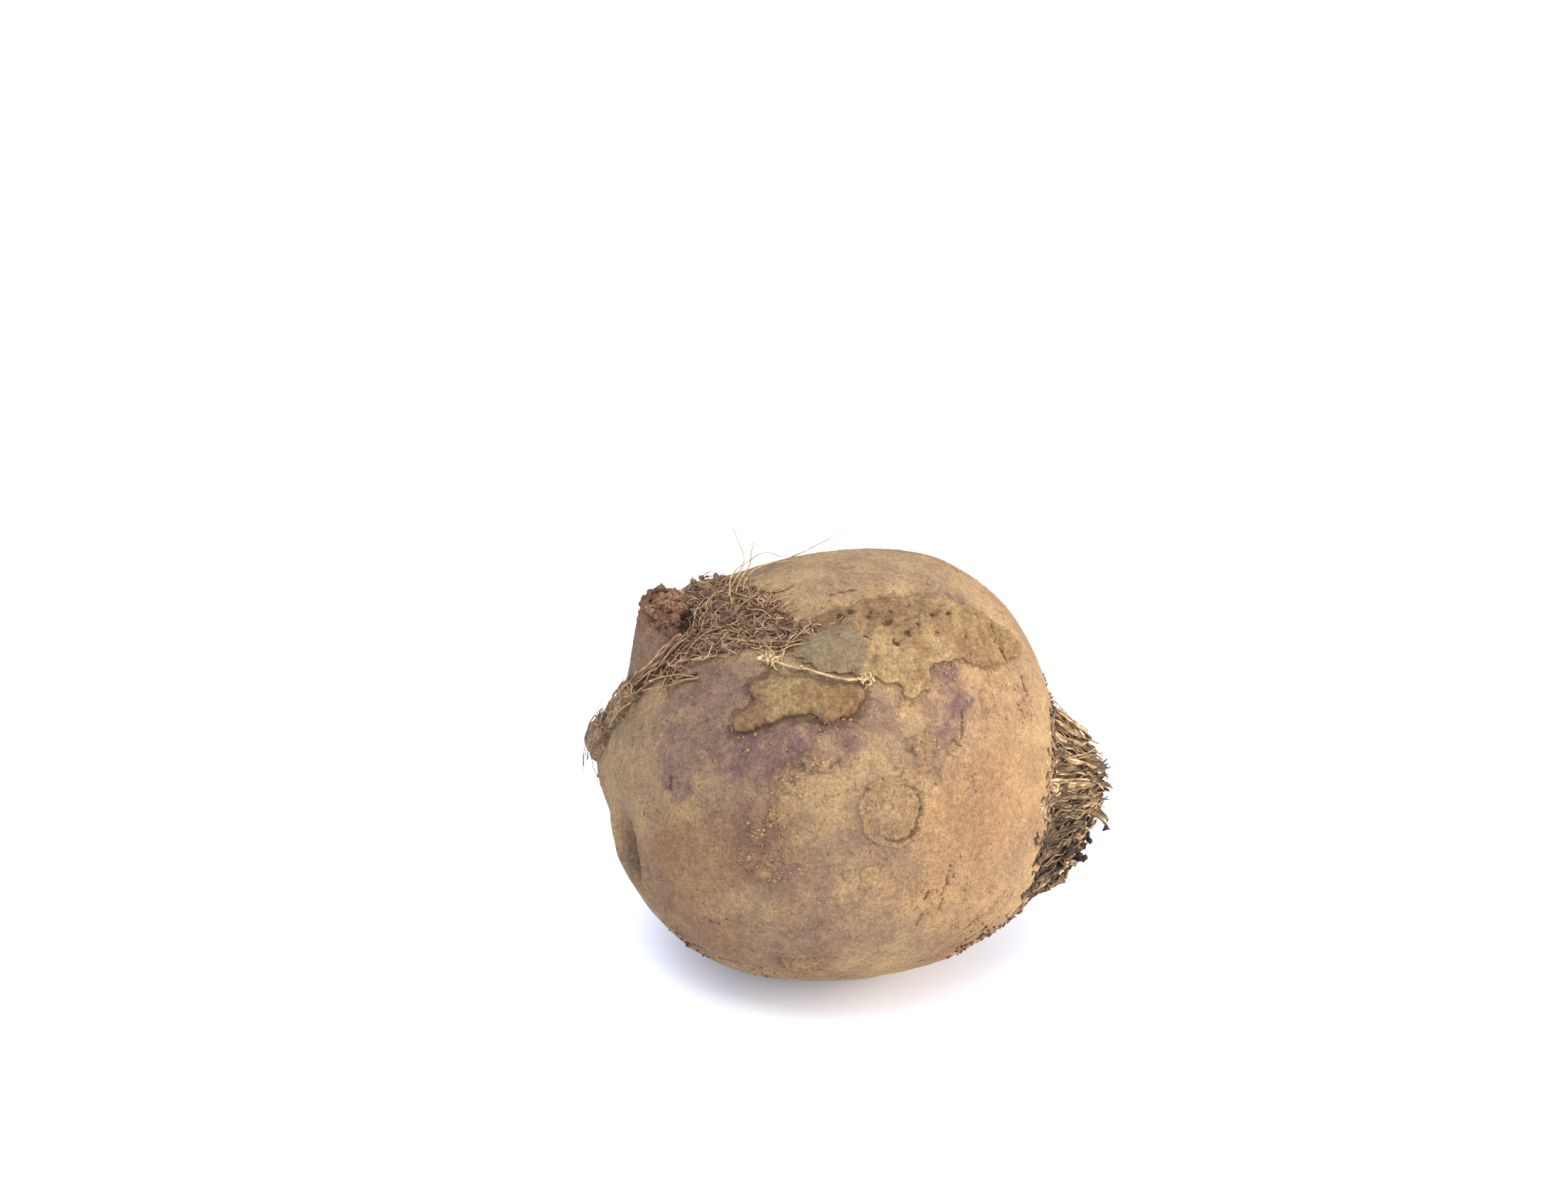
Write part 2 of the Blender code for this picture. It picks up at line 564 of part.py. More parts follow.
def main():
    clear_scene()
    skin_finish = make_material("dusty beet skin", (0.42, 0.27, 0.15), 0.8)
    leaf_finish = make_material("dried leaf base", (0.30, 0.20, 0.11), 0.85)
    rootlet_finish = make_material("dried rootlet", (0.37, 0.23, 0.12), 0.85)
    soil_finish = make_material("dried soil", (0.36, 0.26, 0.12), 0.95)
    pale_finish = make_material("pale rootlet", (0.66, 0.55, 0.36), 0.8)
    root = make_root_mesh()
    skin = Skin(root)
    place_object("beet_root", root, skin_finish)
    make_crown(skin, leaf_finish)
    top = make_felt(skin, TOP_FELT_MIDDLE, TOP_FELT_EDGE, 26, 4)
    rootlets = [strand(skin, line, ROOTLET_RADIUS) for line in TOP_ROOTLETS + STANDING_ROOTLETS]
    rootlets += [strand(skin, line, THICK_ROOTLET_RADIUS) for line in NECK_ROOTLETS]
    fuse("top_rootlet_mat", top, rootlets, rootlet_finish)
    side = make_felt(skin, SIDE_FELT_MIDDLE, SIDE_FELT_EDGE, 20, 3)
    rootlets = [strand(skin, line, ROOTLET_RADIUS) for line in SIDE_ROOTLETS]
    fuse("side_rootlet_mat", side, rootlets, rootlet_finish)
    upper = make_cake(skin, UPPER_CAKE_MIDDLE, UPPER_CAKE_EDGE, 42, 5)
    place_object("upper_soil_cake", upper, soil_finish)
    tongue = make_cake(skin, TONGUE_MIDDLE, TONGUE_EDGE, 30, 3)
    place_object("lower_soil_cake", tongue, soil_finish)
    place_object("pale_rootlet", strand(skin, PALE_ROOTLET, PALE_RADIUS), pale_finish)


main()
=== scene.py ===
# %% [markdown]
# # An unwashed beetroot
# The root in this scene has just been lifted: a dusty globe with a snapped tail, mats of dried
# rootlets, two cakes of dried soil and the torn stumps of its leaves. Its solids are modelled
# already, each piece at its real size. This script gives them their looks. Each solid is hidden
# and stays for collision, and a finer piece in the same place and form is shown for it.

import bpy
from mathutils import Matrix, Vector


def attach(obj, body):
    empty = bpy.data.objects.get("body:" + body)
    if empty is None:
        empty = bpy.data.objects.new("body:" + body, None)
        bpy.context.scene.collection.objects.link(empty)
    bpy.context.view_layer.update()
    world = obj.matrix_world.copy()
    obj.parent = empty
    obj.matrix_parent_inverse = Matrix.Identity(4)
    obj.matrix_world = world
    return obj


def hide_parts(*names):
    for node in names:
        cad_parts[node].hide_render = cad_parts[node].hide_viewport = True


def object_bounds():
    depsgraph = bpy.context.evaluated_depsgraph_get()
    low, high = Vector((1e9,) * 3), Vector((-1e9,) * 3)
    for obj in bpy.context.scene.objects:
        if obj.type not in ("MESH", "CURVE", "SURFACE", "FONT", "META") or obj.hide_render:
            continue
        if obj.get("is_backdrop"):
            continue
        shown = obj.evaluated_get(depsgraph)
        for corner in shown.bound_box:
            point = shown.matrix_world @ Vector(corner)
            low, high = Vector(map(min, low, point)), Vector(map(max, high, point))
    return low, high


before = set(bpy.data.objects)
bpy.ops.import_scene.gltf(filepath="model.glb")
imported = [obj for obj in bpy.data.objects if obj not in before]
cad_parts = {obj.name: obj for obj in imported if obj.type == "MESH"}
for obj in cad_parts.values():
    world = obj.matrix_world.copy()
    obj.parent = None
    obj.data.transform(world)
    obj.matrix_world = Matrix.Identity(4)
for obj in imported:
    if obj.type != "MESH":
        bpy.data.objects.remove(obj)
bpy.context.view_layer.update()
print("solids:", sorted(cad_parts))

# %% [markdown]
# A root has no straight edges to measure from, so places on it are given as directions from the
# middle of its globe: a longitude round the upright axis, counted from the crown's side, and a
# latitude above the horizontal. The tail lies at longitude 180, the crown near 0, and the side
# that is seen near -100. Lengths are written in millimetres and turned into metres by MM.

# %% Units and directions
import math
import random

import bmesh
import bpy
import numpy as np
from mathutils import Vector, noise
from mathutils.bvhtree import BVHTree

MM = 0.001
MIDDLE = Vector((0.0, 0.0, 42.8)) * MM
GLOBE_MM = 45.0                      # the globe's mean radius, which turns angles into lengths


def way(longitude, latitude):
    """The unit direction of a place on the root."""
    lon, lat = math.radians(longitude), math.radians(latitude)
    return Vector((math.cos(lat) * math.cos(lon), math.cos(lat) * math.sin(lon), math.sin(lat)))


def distance_mm(directions, place):
    """How far each direction is from a place, in millimetres along the skin."""
    cosine = np.clip(directions @ np.array(way(*place)), -1.0, 1.0)
    return np.arccos(cosine) * GLOBE_MM


def line_distance_mm(directions, stations):
    """How far each direction is from a line through places, and on which side of it, as a sign."""
    nearest = np.full(len(directions), 1e9)
    side = np.ones(len(directions))
    for start, end in zip(stations, stations[1:]):
        first, second = np.array(way(*start)), np.array(way(*end))
        run = second - first
        share = np.clip((directions - first) @ run / (run @ run), 0.0, 1.0)
        off = directions - first - share[:, None] * run
        distance = np.linalg.norm(off, axis=1) * GLOBE_MM
        closer = distance < nearest
        nearest[closer] = distance[closer]
        side[closer] = np.sign(off @ np.cross(first, run))[closer]
    return nearest, side


def fade(values, low, high):
    """0 below low, 1 above high, and a smooth step between them."""
    share = np.clip((values - low) / (high - low), 0.0, 1.0)
    return share * share * (3.0 - 2.0 * share)


def fall(values, low, high):
    """1 below low, 0 above high, and a smooth step between them."""
    return 1.0 - fade(values, low, high)


def bell(values, width):
    """1 where the values are 0, and less to both sides, smoothly, within about that width."""
    return np.exp(-(values / width) ** 2)


def bumps(points, size_mm, seed, octaves=3):
    """Smooth random values from about -1 to 1 at each point, with bumps of about that size."""
    shift = Vector((7.1, 3.7, 5.3)) * seed
    scale = 1.0 / (size_mm * MM)
    return np.array([noise.fractal(Vector(p) * scale + shift, 1.0, 2.0, octaves) for p in points])


TAIL_WAY = way(180.0, 41.0)
print("the tail points to", tuple(round(c, 2) for c in TAIL_WAY))

# %% [markdown]
# ## The camera
# The photograph looks down on the root from about 0.45 m away, with a normal lens. The camera is
# set up first, because it decides how fine the detail has to be: at the picture's full width one
# pixel covers about 0.13 mm of skin.

# %% The camera
CAMERA_PLACE = Vector((-89.2, -381.9, 256.2)) * MM
CAMERA_AZIMUTH = -12.0               # degrees round the upright axis
CAMERA_TILT = 24.0                   # degrees below the horizontal
camera = bpy.data.objects.new("camera", bpy.data.cameras.new("camera"))
camera.data.lens = 50.0
camera.data.sensor_width = 36.0
camera.location = CAMERA_PLACE
camera.rotation_euler = (math.radians(90.0 - CAMERA_TILT), 0.0, math.radians(CAMERA_AZIMUTH))
bpy.context.scene.collection.objects.link(camera)
bpy.context.scene.camera = camera
print("camera to middle:", round((CAMERA_PLACE - MIDDLE).length, 3), "m")

# %% [markdown]
# ## Colours and nodes
# Colours are chosen as the hex values that a screen shows, and one function turns them into the
# linear values that a shader works with. A second one adds a node, sets its sockets and links
# them, so that each material below reads as a short recipe. The photograph is bright enough for
# its white paper to burn out, so soil and fibre reflect a little less than they show there.


# %% Colours and nodes
PAINT_SHARE = 0.8                    # what soil and fibre reflect of the colour that they show


def linear(code):
    """The linear RGBA values of an sRGB hex colour."""
    levels = [int(code[n:n + 2], 16) / 255 for n in (0, 2, 4)]
    return (*[c / 12.92 if c <= 0.04045 else ((c + 0.055) / 1.055) ** 2.4 for c in levels], 1.0)


def per_mm(size_mm):
    """The scale of a pattern on Object coordinates whose features are that many mm across."""
    return 1.0 / (size_mm * MM)


def node(tree, kind, sockets=None, **settings):
    """Add a node. A socket's value is a constant, or another node's output to link."""
    made = tree.nodes.new("ShaderNode" + kind)
    for name, value in settings.items():
        setattr(made, name, value)
    for name, value in (sockets or {}).items():
        if isinstance(value, bpy.types.NodeSocket):
            tree.links.new(value, made.inputs[name])
        else:
            made.inputs[name].default_value = value
    return made


def new_material(name, roughness, specular):
    """A material with one Principled shader, and its node tree and shader to work on."""
    material = bpy.data.materials.new(name)
    material.use_nodes = True
    shader = material.node_tree.nodes["Principled BSDF"]
    shader.inputs["Roughness"].default_value = roughness
    shader.inputs["Specular IOR Level"].default_value = specular
    return material, material.node_tree, shader


def mixed(tree, share, below, above):
    """The colour `above` laid over `below`, as strongly as share says."""
    mix = node(tree, "Mix", {0: share}, data_type="RGBA")
    for socket, colour in ((mix.inputs[6], below), (mix.inputs[7], above)):
        if isinstance(colour, bpy.types.NodeSocket):
            tree.links.new(colour, socket)
        else:
            socket.default_value = (*[PAINT_SHARE * c for c in linear(colour)[:3]], 1.0)
    return mix.outputs[2]


def math_node(tree, operation, first, second=0.0):
    return node(tree, "Math", {0: first, 1: second}, operation=operation).outputs[0]


def between(tree, value, low, high, to_low=0.0, to_high=1.0):
    """A value carried from one range to another, smoothly, and held at the ends."""
    sockets = {0: value, 1: low, 2: high, 3: to_low, 4: to_high}
    return node(tree, "MapRange", sockets, interpolation_type="SMOOTHSTEP").outputs[0]


print("a dusty tan is", [round(c, 3) for c in linear("be9c78")])

# %% [markdown]
# ## The skin
# A beetroot's skin is a thin cork layer, purple-brown where it is rubbed bare and hidden under a
# film of dried loam elsewhere. The solid's facets are far too coarse for that, so a copy of them
# is turned back into quads and subdivided. The side that is seen is split once more, down to less
# than half a millimetre, which leaves the hidden side lighter but still smooth.

# %% A fine copy of the root
SEEN_WAY = way(-102.0, 24.0)         # towards the camera
SEEN_SPREAD = 71.0                   # degrees round it that are split once more
TAIL_SPREAD = 20.0                   # degrees round the tail that are split too
FOLD_SPREAD = 2.0                    # millimetres beside the fold that are split again
FOLD = ((-163, -0.5), (-161, -4.5), (-159.7, -8), (-159.6, -11), (-160, -14.6),
        (-160.3, -17.8), (-159.5, -21), (-158, -25))


def shown_mesh(rough):
    """The mesh that an object shows with its modifiers or its bevel applied. The object goes."""
    bpy.context.scene.collection.objects.link(rough)
    graph = bpy.context.evaluated_depsgraph_get()
    mesh = bpy.data.meshes.new_from_object(rough.evaluated_get(graph))
    bpy.data.objects.remove(rough)
    return mesh


def fine_copy(node_name, levels):
    """A bmesh of a solid's node, made of quads where it can be and subdivided smoothly."""
    bm = bmesh.new()
    bm.from_mesh(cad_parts[node_name].data)
    bmesh.ops.remove_doubles(bm, verts=bm.verts, dist=0.005 * MM)
    bmesh.ops.join_triangles(bm, faces=bm.faces, angle_face_threshold=math.radians(40),
                             angle_shape_threshold=math.radians(50))
    mesh = bpy.data.meshes.new("rough")
    bm.to_mesh(mesh)
    rough = bpy.data.objects.new("rough", mesh)
    smooth = rough.modifiers.new("smooth", "SUBSURF")
    smooth.levels = levels
    smooth.render_levels = levels
    fine = shown_mesh(rough)
    bm.clear()
    bm.from_mesh(fine)
    bpy.data.meshes.remove(fine)
    bpy.data.meshes.remove(mesh)
    return bm


def split_faces(bm, faces):
    """Cut the edges of some faces in two, which cuts the faces in four."""
    edges = list(dict.fromkeys(edge for face in faces for edge in face.edges))
    bmesh.ops.subdivide_edges(bm, edges=edges, cuts=1, use_grid_fill=True)


skin_bm = fine_copy("beet_root", 2)
seen = []
for face in skin_bm.faces:
    direction = (face.calc_center_median() - MIDDLE).normalized()
    near_view = math.degrees(direction.angle(SEEN_WAY)) < SEEN_SPREAD
    if near_view or math.degrees(direction.angle(TAIL_WAY)) < TAIL_SPREAD:
        seen.append(face)
split_faces(skin_bm, seen)
skin_faces = list(skin_bm.faces)
face_ways = np.array([(face.calc_center_median() - MIDDLE).normalized() for face in skin_faces])
fold_gaps, _ = line_distance_mm(face_ways, FOLD)
split_faces(skin_bm, [face for face, gap in zip(skin_faces, fold_gaps) if gap < FOLD_SPREAD])
skin_bm.normal_update()
triangles = sum(len(face.verts) - 2 for face in skin_bm.faces)
print("skin:", len(skin_bm.verts), "points,", triangles, "triangles")

# %% [markdown]
# The marks that make this root the one in the photograph are named one by one: the fold near the
# tail, slits and pits, and the ring-shaped stain on its front. Their places were read from the
# photograph as directions. Written as tables, they stay easy to find and to move.

# %% The fold, slits, pits and the ring
FOLD_DEPTH = 2.4
FOLD_WIDTH = 3.0                     # how far its open side slopes
STEEP_WIDTH = 0.45                   # how far its other side does
CREASE_DEPTH = 2.6                   # the narrow cut at the bottom of the fold
CREASE_WIDTH = 0.5
# Swellings along the fold: on which side, how high, how far from it and how wide
FOLD_SWELLS = ((1, 1.1, 1.8, 1.5), (-1, 1.3, 6.5, 3))
# Slits in the skin: the places they run through, half their width and their depth
SLITS = (
    (((-145.6, 18.2), (-145.1, 15)), 0.4, 0.55),
    (((-24, 31), (-27.5, 27.3)), 0.35, 0.5),
    (((-5.3, 42.6), (-5.8, 40.5), (-6.3, 37.9)), 0.35, 0.5),
    (((12.5, 53.6), (8.8, 52.5)), 0.3, 0.35),
    (((-96, 76.8), (-80, 77.2), (-66, 76.8)), 0.3, 0.35),
    (((-56.5, 35.5), (-59, 32), (-61.2, 29)), 0.4, 0.55),
    (((-64, 29.6), (-61.4, 26)), 0.35, 0.5),
    (((-101, 28.3), (-98.5, 29.4)), 0.35, 0.35),
    (((-70.4, -1), (-71.2, -4.1), (-71.1, -7.4)), 0.45, 0.25),
    (((-76, -7), (-77, -9.2)), 0.45, 0.35),
    (((-71.7, -11.8), (-72.6, -14)), 0.45, 0.3),
    (((-77, -14), (-78, -17.7)), 0.45, 0.25),
    (((-58, -22.2), (-61.5, -25.5)), 0.4, 0.3),
    (((-152, -33), (-146, -37.9), (-135, -39.8), (-124.6, -41)), 0.5, 0.55),
    (((-130, -43.5), (-119, -44.5), (-108, -46)), 0.45, 0.45),
    (((-146, -33.5), (-137, -36.5), (-129, -37.5)), 0.35, 0.35),
    (((-62, -33), (-56, -30.5), (-50, -27)), 0.4, 0.35),
    (((-52, -32), (-47, -29), (-43, -25.5)), 0.45, 0.4),
    (((-72, -38.5), (-63, -36.5)), 0.35, 0.3),
)
# Pits: longitude, latitude, radius and depth
PITS = (
    (-14.9, 63.3, 0.7, 0.3), (-15.8, 60.6, 0.5, 0.25), (-164, 19.9, 0.5, 0.3),
    (-153, 6, 0.5, 0.4), (-148, -10, 0.5, 0.4), (-115, 3.9, 0.6, 0.5),
    (-122.4, 2.2, 0.6, 0.35), (-120, 0.9, 0.5, 0.35), (-83.3, 26.4, 0.8, 0.25),
    (-91.5, 22.1, 0.8, 0.35), (-72.5, 20.7, 0.8, 0.4), (-133.1, -18.3, 0.6, 0.35),
    (-130.7, -18.3, 0.7, 0.4), (-128, -16, 0.5, 0.3), (-129.5, -19.3, 0.5, 0.3),
    (-151, -22.8, 0.6, 0.35), (-149.5, -21.3, 0.5, 0.25), (-112, -32.6, 0.5, 0.3),
    (-106.3, -33.9, 0.6, 0.3), (-117.5, 8, 0.5, 0.3), (-113, 1.5, 0.4, 0.25),
)
HIDDEN_PITS = 70
HIDDEN_SLITS = 26
HIDDEN_SIDE = way(78.0, -24.0)       # opposite the camera
RING = (-84.6, 16.3)
RING_RADIUS = 6.4
RING_EDGE = 0.5                      # half the width of its rim and of the groove inside it
print("named marks:", len(SLITS), "slits and", len(PITS), "pits")

# %% [markdown]
# The relief is worked out before anything is moved, as one depth in millimetres for each point.
# Broad swellings and fine unevenness come from smooth noise, and each mark is cut in with a
# bell-shaped profile. The side that the photograph doesn't show gets marks of the same kinds, drawn
# from a fixed seed. The whole relief lies a little below the solid's surface, so the root never
# grows past its size.

# %% The relief of the skin
RELIEF_SINK = 0.32                   # how far the relief lies below the solid's surface


def any_place(rng):
    """A longitude and a latitude, drawn evenly over the globe."""
    return rng.uniform(-180.0, 180.0), math.degrees(math.asin(rng.uniform(-1.0, 1.0)))


def hidden_marks(rng):
    """Pits and slits like the named ones, strewn over the side that the photograph doesn't show."""
    pits, slits = [], []
    while len(pits) < HIDDEN_PITS or len(slits) < HIDDEN_SLITS:
        lon, lat = any_place(rng)
        if math.degrees(way(lon, lat).angle(HIDDEN_SIDE)) > 88.0:
            continue
        if len(pits) < HIDDEN_PITS:
            pits.append((lon, lat, rng.uniform(0.35, 0.8), rng.uniform(0.2, 0.45)))
        else:
            end = (lon + rng.uniform(-5.0, 5.0), lat + rng.uniform(-4.0, 4.0))
            slits.append((((lon, lat), end), rng.uniform(0.35, 0.5), rng.uniform(0.25, 0.5)))
    return tuple(pits), tuple(slits)


skin_points = np.array([v.co for v in skin_bm.verts])
skin_normals = np.array([v.normal for v in skin_bm.verts])
skin_ways = skin_points - np.array(MIDDLE)
skin_ways /= np.linalg.norm(skin_ways, axis=1)[:, None]

medium = bumps(skin_points, 5.0, 2)
small = bumps(skin_points, 1.5, 3, 2)
relief = 0.26 * bumps(skin_points, 15.0, 1) + 0.11 * medium + 0.035 * small - RELIEF_SINK

more_pits, more_slits = hidden_marks(random.Random(4))


def skin_marks():
    """Each slit and pit: every point's distance, its width, depth, and its healed mark's tear and
    reach.
    """
    for stations, half_width, depth in SLITS + more_slits:
        yield line_distance_mm(skin_ways, stations)[0], half_width, depth, 0.35, 0.75
    for lon, lat, radius, depth in PITS + more_pits:
        yield distance_mm(skin_ways, (lon, lat)), radius, depth, 0.3, radius + 0.3


cut = np.zeros(len(relief))
ragged = 0.25 * small
for distance, width, depth, _, _ in skin_marks():
    cut = np.maximum(cut, depth * bell(np.maximum(distance + ragged, 0.0), width))
relief -= 0.7 * cut

fold_distance, fold_side = line_distance_mm(skin_ways, FOLD)
level = skin_ways[:, 2] * GLOBE_MM
along_fold = fade(level, -22.0, -11.0) * fall(level, -6.0, 0.0)
fold_distance = np.maximum(fold_distance + 0.5 * small + 0.4 * medium, 0.0)
open_side, steep_side = np.exp(-fold_distance / FOLD_WIDTH), bell(fold_distance, STEEP_WIDTH)
relief -= FOLD_DEPTH * along_fold * np.where(fold_side < 0, open_side, steep_side)
relief -= CREASE_DEPTH * along_fold * bell(fold_distance, CREASE_WIDTH)
for side, height, distance, width in FOLD_SWELLS:
    relief += height * along_fold * (fold_side * side > 0) * bell(fold_distance - distance, width)

ring_distance = distance_mm(skin_ways, RING) + 1.1 * medium
ring_rim = bell(ring_distance - RING_RADIUS, RING_EDGE)
ring_disc = fall(ring_distance, RING_RADIUS - 0.6, RING_RADIUS + 0.2)
ring_groove = bell(ring_distance - RING_RADIUS + 1.2, RING_EDGE)
up_right = way(*RING).cross(Vector((0.5, 0.0, 1.0)))
ring_low_left = fade(-(skin_ways @ np.array(up_right)), -0.05, 0.05)
relief += 0.12 * ring_disc * (1.0 + 2.0 * small) + 0.32 * ring_rim * (0.8 + small)
relief += 0.15 * ring_rim * (1.0 - ring_low_left) - 0.22 * ring_groove
print("deepest relief:", round(float(relief.min()), 2), "mm")

# %% [markdown]
# What covers the skin changes from place to place. A thin film of loam has stayed on it in patches
# with torn edges, it is rubbed bare and purple elsewhere, and the dust is warmer or redder where
# the soil was. These places were read from the photograph too, but for a few on the hidden side.

# %% Film, bare skin, warm and reddish soil
# Patches of soil film: longitude, latitude, radius and height
FILM = (
    (-74.5, 31, 2.4, 0.45), (-74.8, 26.6, 2.1, 0.45), (-105, 29.5, 2.2, 0.4),
    (-102.5, 28.5, 1.8, 0.3), (-111.4, 24.6, 2.8, 0.45), (-114, 23, 1.6, 0.35),
    (-115.2, 14.9, 2, 0.55), (-113, 17, 1.2, 0.35), (-118.5, 11, 1.6, 0.3),
    (-121.5, 3.5, 1.6, 0.3), (-111, 6.5, 2, 0.3), (-117, 1, 1.5, 0.25),
    (-109.5, -32.8, 3.4, 0.3), (-31.5, 25.2, 1.8, 0.4), (-28.5, 27, 1.2, 0.35),
    (-80.5, 24.5, 1.6, 0.25), (-91, 0, 2.6, 0.15), (-96, 1, 1.8, 0.15),
    (-60.5, 17.5, 0.8, 0.25), (-65.5, 27.5, 1.3, 0.3), (-71, 22, 1.2, 0.25),
    (-45, 34, 1.6, 0.2), (-38, 36.5, 1.8, 0.25), (-52, -20, 2.2, 0.15),
)
HIDDEN_FILM = 60
# Skin that is rubbed bare: longitude, latitude, radius, and how bare it is
BARE = (
    (-54.5, 43.5, 4.6, 1), (-57.5, 38.5, 4.8, 1), (-61.5, 33.5, 4.4, 1),
    (-66.5, 30, 3.6, 0.8), (-71.5, 25.5, 3.2, 0.7), (-66, 39, 4, 0.6),
    (-144, 24.5, 7, 0.8), (-135.5, 28.4, 7, 0.8), (-125, 29.7, 6.5, 1),
    (-116, 31, 6.5, 1), (-107.5, 33, 5.5, 1), (-100, 35.5, 5, 0.9),
    (-94, 38.5, 4.5, 0.8), (-88, 41, 4.5, 0.7), (-151, 38.5, 5.5, 0.7),
    (-141, 43, 5.5, 0.7), (-132, 47, 5, 0.7), (-119, 8.5, 6, 0.5),
    (-107, -6, 9, 0.55), (-113, -20, 9, 0.55), (-100, 6, 6, 0.5),
    (-126, 18, 8, 0.5), (-175, 44, 5, 0.5), (-26, 55, 2.6, 0.3),
    (-19.3, 55.8, 1.7, 0.9), (-110, -28, 6, 0.3), (-92, -14, 9, 0.3),
    (-87, 12, 8, 0.25),
)
HIDDEN_BARE = 16
# Places with a warmer, more orange soil: longitude, latitude, radius and strength
WARM = (
    (-139, 1, 9, 0.8), (-70, 12, 8, 0.7), (-62, 3, 9, 0.6),
    (-109, -32, 4, 0.8), (-68, -10, 9, 0.5), (-49, 20, 9, 0.6),
    (-40, 8, 7, 0.6), (-117, 5, 5, 0.8), (-75, 70, 7, 0.5),
    (60, 30, 16, 0.7), (120, -10, 14, 0.6), (20, -50, 12, 0.6),
)
# Places with a reddish brown tone: longitude, latitude, radius and strength
ROSY = (
    (-60, 10, 11, 0.3), (-84, 2, 9, 0.25), (-119, 9, 6.5, 0.9),
    (-124, 2, 5, 0.7), (-112, 13, 4, 0.6), (-133, 8, 5, 0.5),
    (-140, -25, 11, 0.6), (-141, -6, 10, 0.5), (-110, -36, 7, 0.5),
    (-60, -28, 7, 0.5), (30, 40, 9, 0.6), (95, 10, 12, 0.6),
    (150, -20, 10, 0.6), (60, -30, 10, 0.6),
)
print("named patches:", len(FILM) + len(BARE) + len(WARM) + len(ROSY))

# %% [markdown]
# Each cover becomes a mask from 0 to 1, which is kept on the mesh as an attribute later, so that
# the material can paint it exactly where the relief is. The film of soil also adds to the relief.

# %% Masks of what covers the skin
def patches(directions, places, wobble, edge_mm):
    """How deep inside any of some round patches with ragged edges each direction is, 0 to 1."""
    inside = np.zeros(len(directions))
    for lon, lat, radius, strength in places:
        distance = distance_mm(directions, (lon, lat)) + wobble
        patch = fall(distance, radius - edge_mm, radius + edge_mm)
        inside = np.maximum(inside, strength * patch)
    return inside


def hidden_patches(rng, count, smallest, largest, weakest, strongest):
    """Patches strewn over the side that the photograph doesn't show."""
    places = []
    while len(places) < count:
        lon, lat = any_place(rng)
        if math.degrees(way(lon, lat).angle(HIDDEN_SIDE)) < 86.0:
            radius, strength = rng.uniform(smallest, largest), rng.uniform(weakest, strongest)
            places.append((lon, lat, radius, strength))
    return tuple(places)


film_places = FILM + hidden_patches(random.Random(7), HIDDEN_FILM, 0.8, 3.0, 0.15, 0.45)
film_wobble = 1.5 * medium + 0.9 * small
film = patches(skin_ways, film_places, film_wobble, 0.45)
film_lumps = 0.6 + 0.9 * bumps(skin_points, 0.9, 9, 3)
relief += 1.7 * film * np.maximum(film_lumps, 0.1)
film_near = patches(skin_ways, [(*place[:3], 1.0) for place in film_places], film_wobble, 1.3)
film_near = np.maximum(film_near, 0.55 * ring_disc * fade(ring_distance, 0.0, 5.0))
film_near = np.maximum(film_near, 0.9 * ring_rim)

bare_places = BARE + hidden_patches(random.Random(8), HIDDEN_BARE, 3.0, 8.0, 0.4, 1.0)
bare = patches(skin_ways, bare_places, 4.0 * medium, 3.0)
warm = patches(skin_ways, WARM, 4.0 * medium, 5.0)
rosy = patches(skin_ways, ROSY, 3.0 * medium + 1.5 * small, 3.0)
print("film covers", round(100 * float((film > 0.1).mean()), 1), "% of the points")
print("bare skin shows on", round(100 * float((bare > 0.5).mean()), 1), "%")

# %% [markdown]
# Slits and pits healed to darker scars, a little wider than the cuts themselves. The same mask gives
# the ring's groove painted shade, darker on its lower left. Round the crown the skin peels in thin
# layers, which show as narrow ridges round the crown's axis.

# %% Scars, painted shade in the ring's groove, and peeling skin
CROWN_AXIS = (-4.0, -17.0)
PEEL_EDGE_MM = 21.0                  # how far from the crown's axis the peeling skin begins
PEEL_HEIGHT = 0.38
PEEL_STEP = 1.15                     # millimetres between the edges of two peeling layers
scar_and_ring_shade = np.zeros(len(relief))
for distance, _, depth, tear, reach in skin_marks():
    darkness = min(0.7, 0.35 + depth)
    scar_and_ring_shade = np.maximum(scar_and_ring_shade, darkness * fall(distance + tear * small, 0.0, reach))
# Painted shade in the ring's groove, darker on its lower left
scar_and_ring_shade = np.maximum(scar_and_ring_shade, 0.75 * ring_groove * (0.4 + 0.6 * ring_low_left))

from_crown = distance_mm(skin_ways, CROWN_AXIS) + 1.2 * medium
peel = fall(from_crown, PEEL_EDGE_MM + 1.0, PEEL_EDGE_MM + 7.5) * fade(from_crown, 10.0, 14.0)
layers = (from_crown + 0.5 * small) / PEEL_STEP
relief += PEEL_HEIGHT * peel * (layers - np.floor(layers) - 0.5)
print("skin peels on", round(100 * float((peel > 0.5).mean()), 1), "% of the points")

# %% [markdown]
# The snapped end of the tail is a fibrous break, rough and a little sunk at its rim. Soil and painted
# shade darken the furrows under the rootlets beside the neck, round the crown's foot, and in the fold,
# most of all in its crease and on its open side. Where the root lies on the floor, it stays flat.

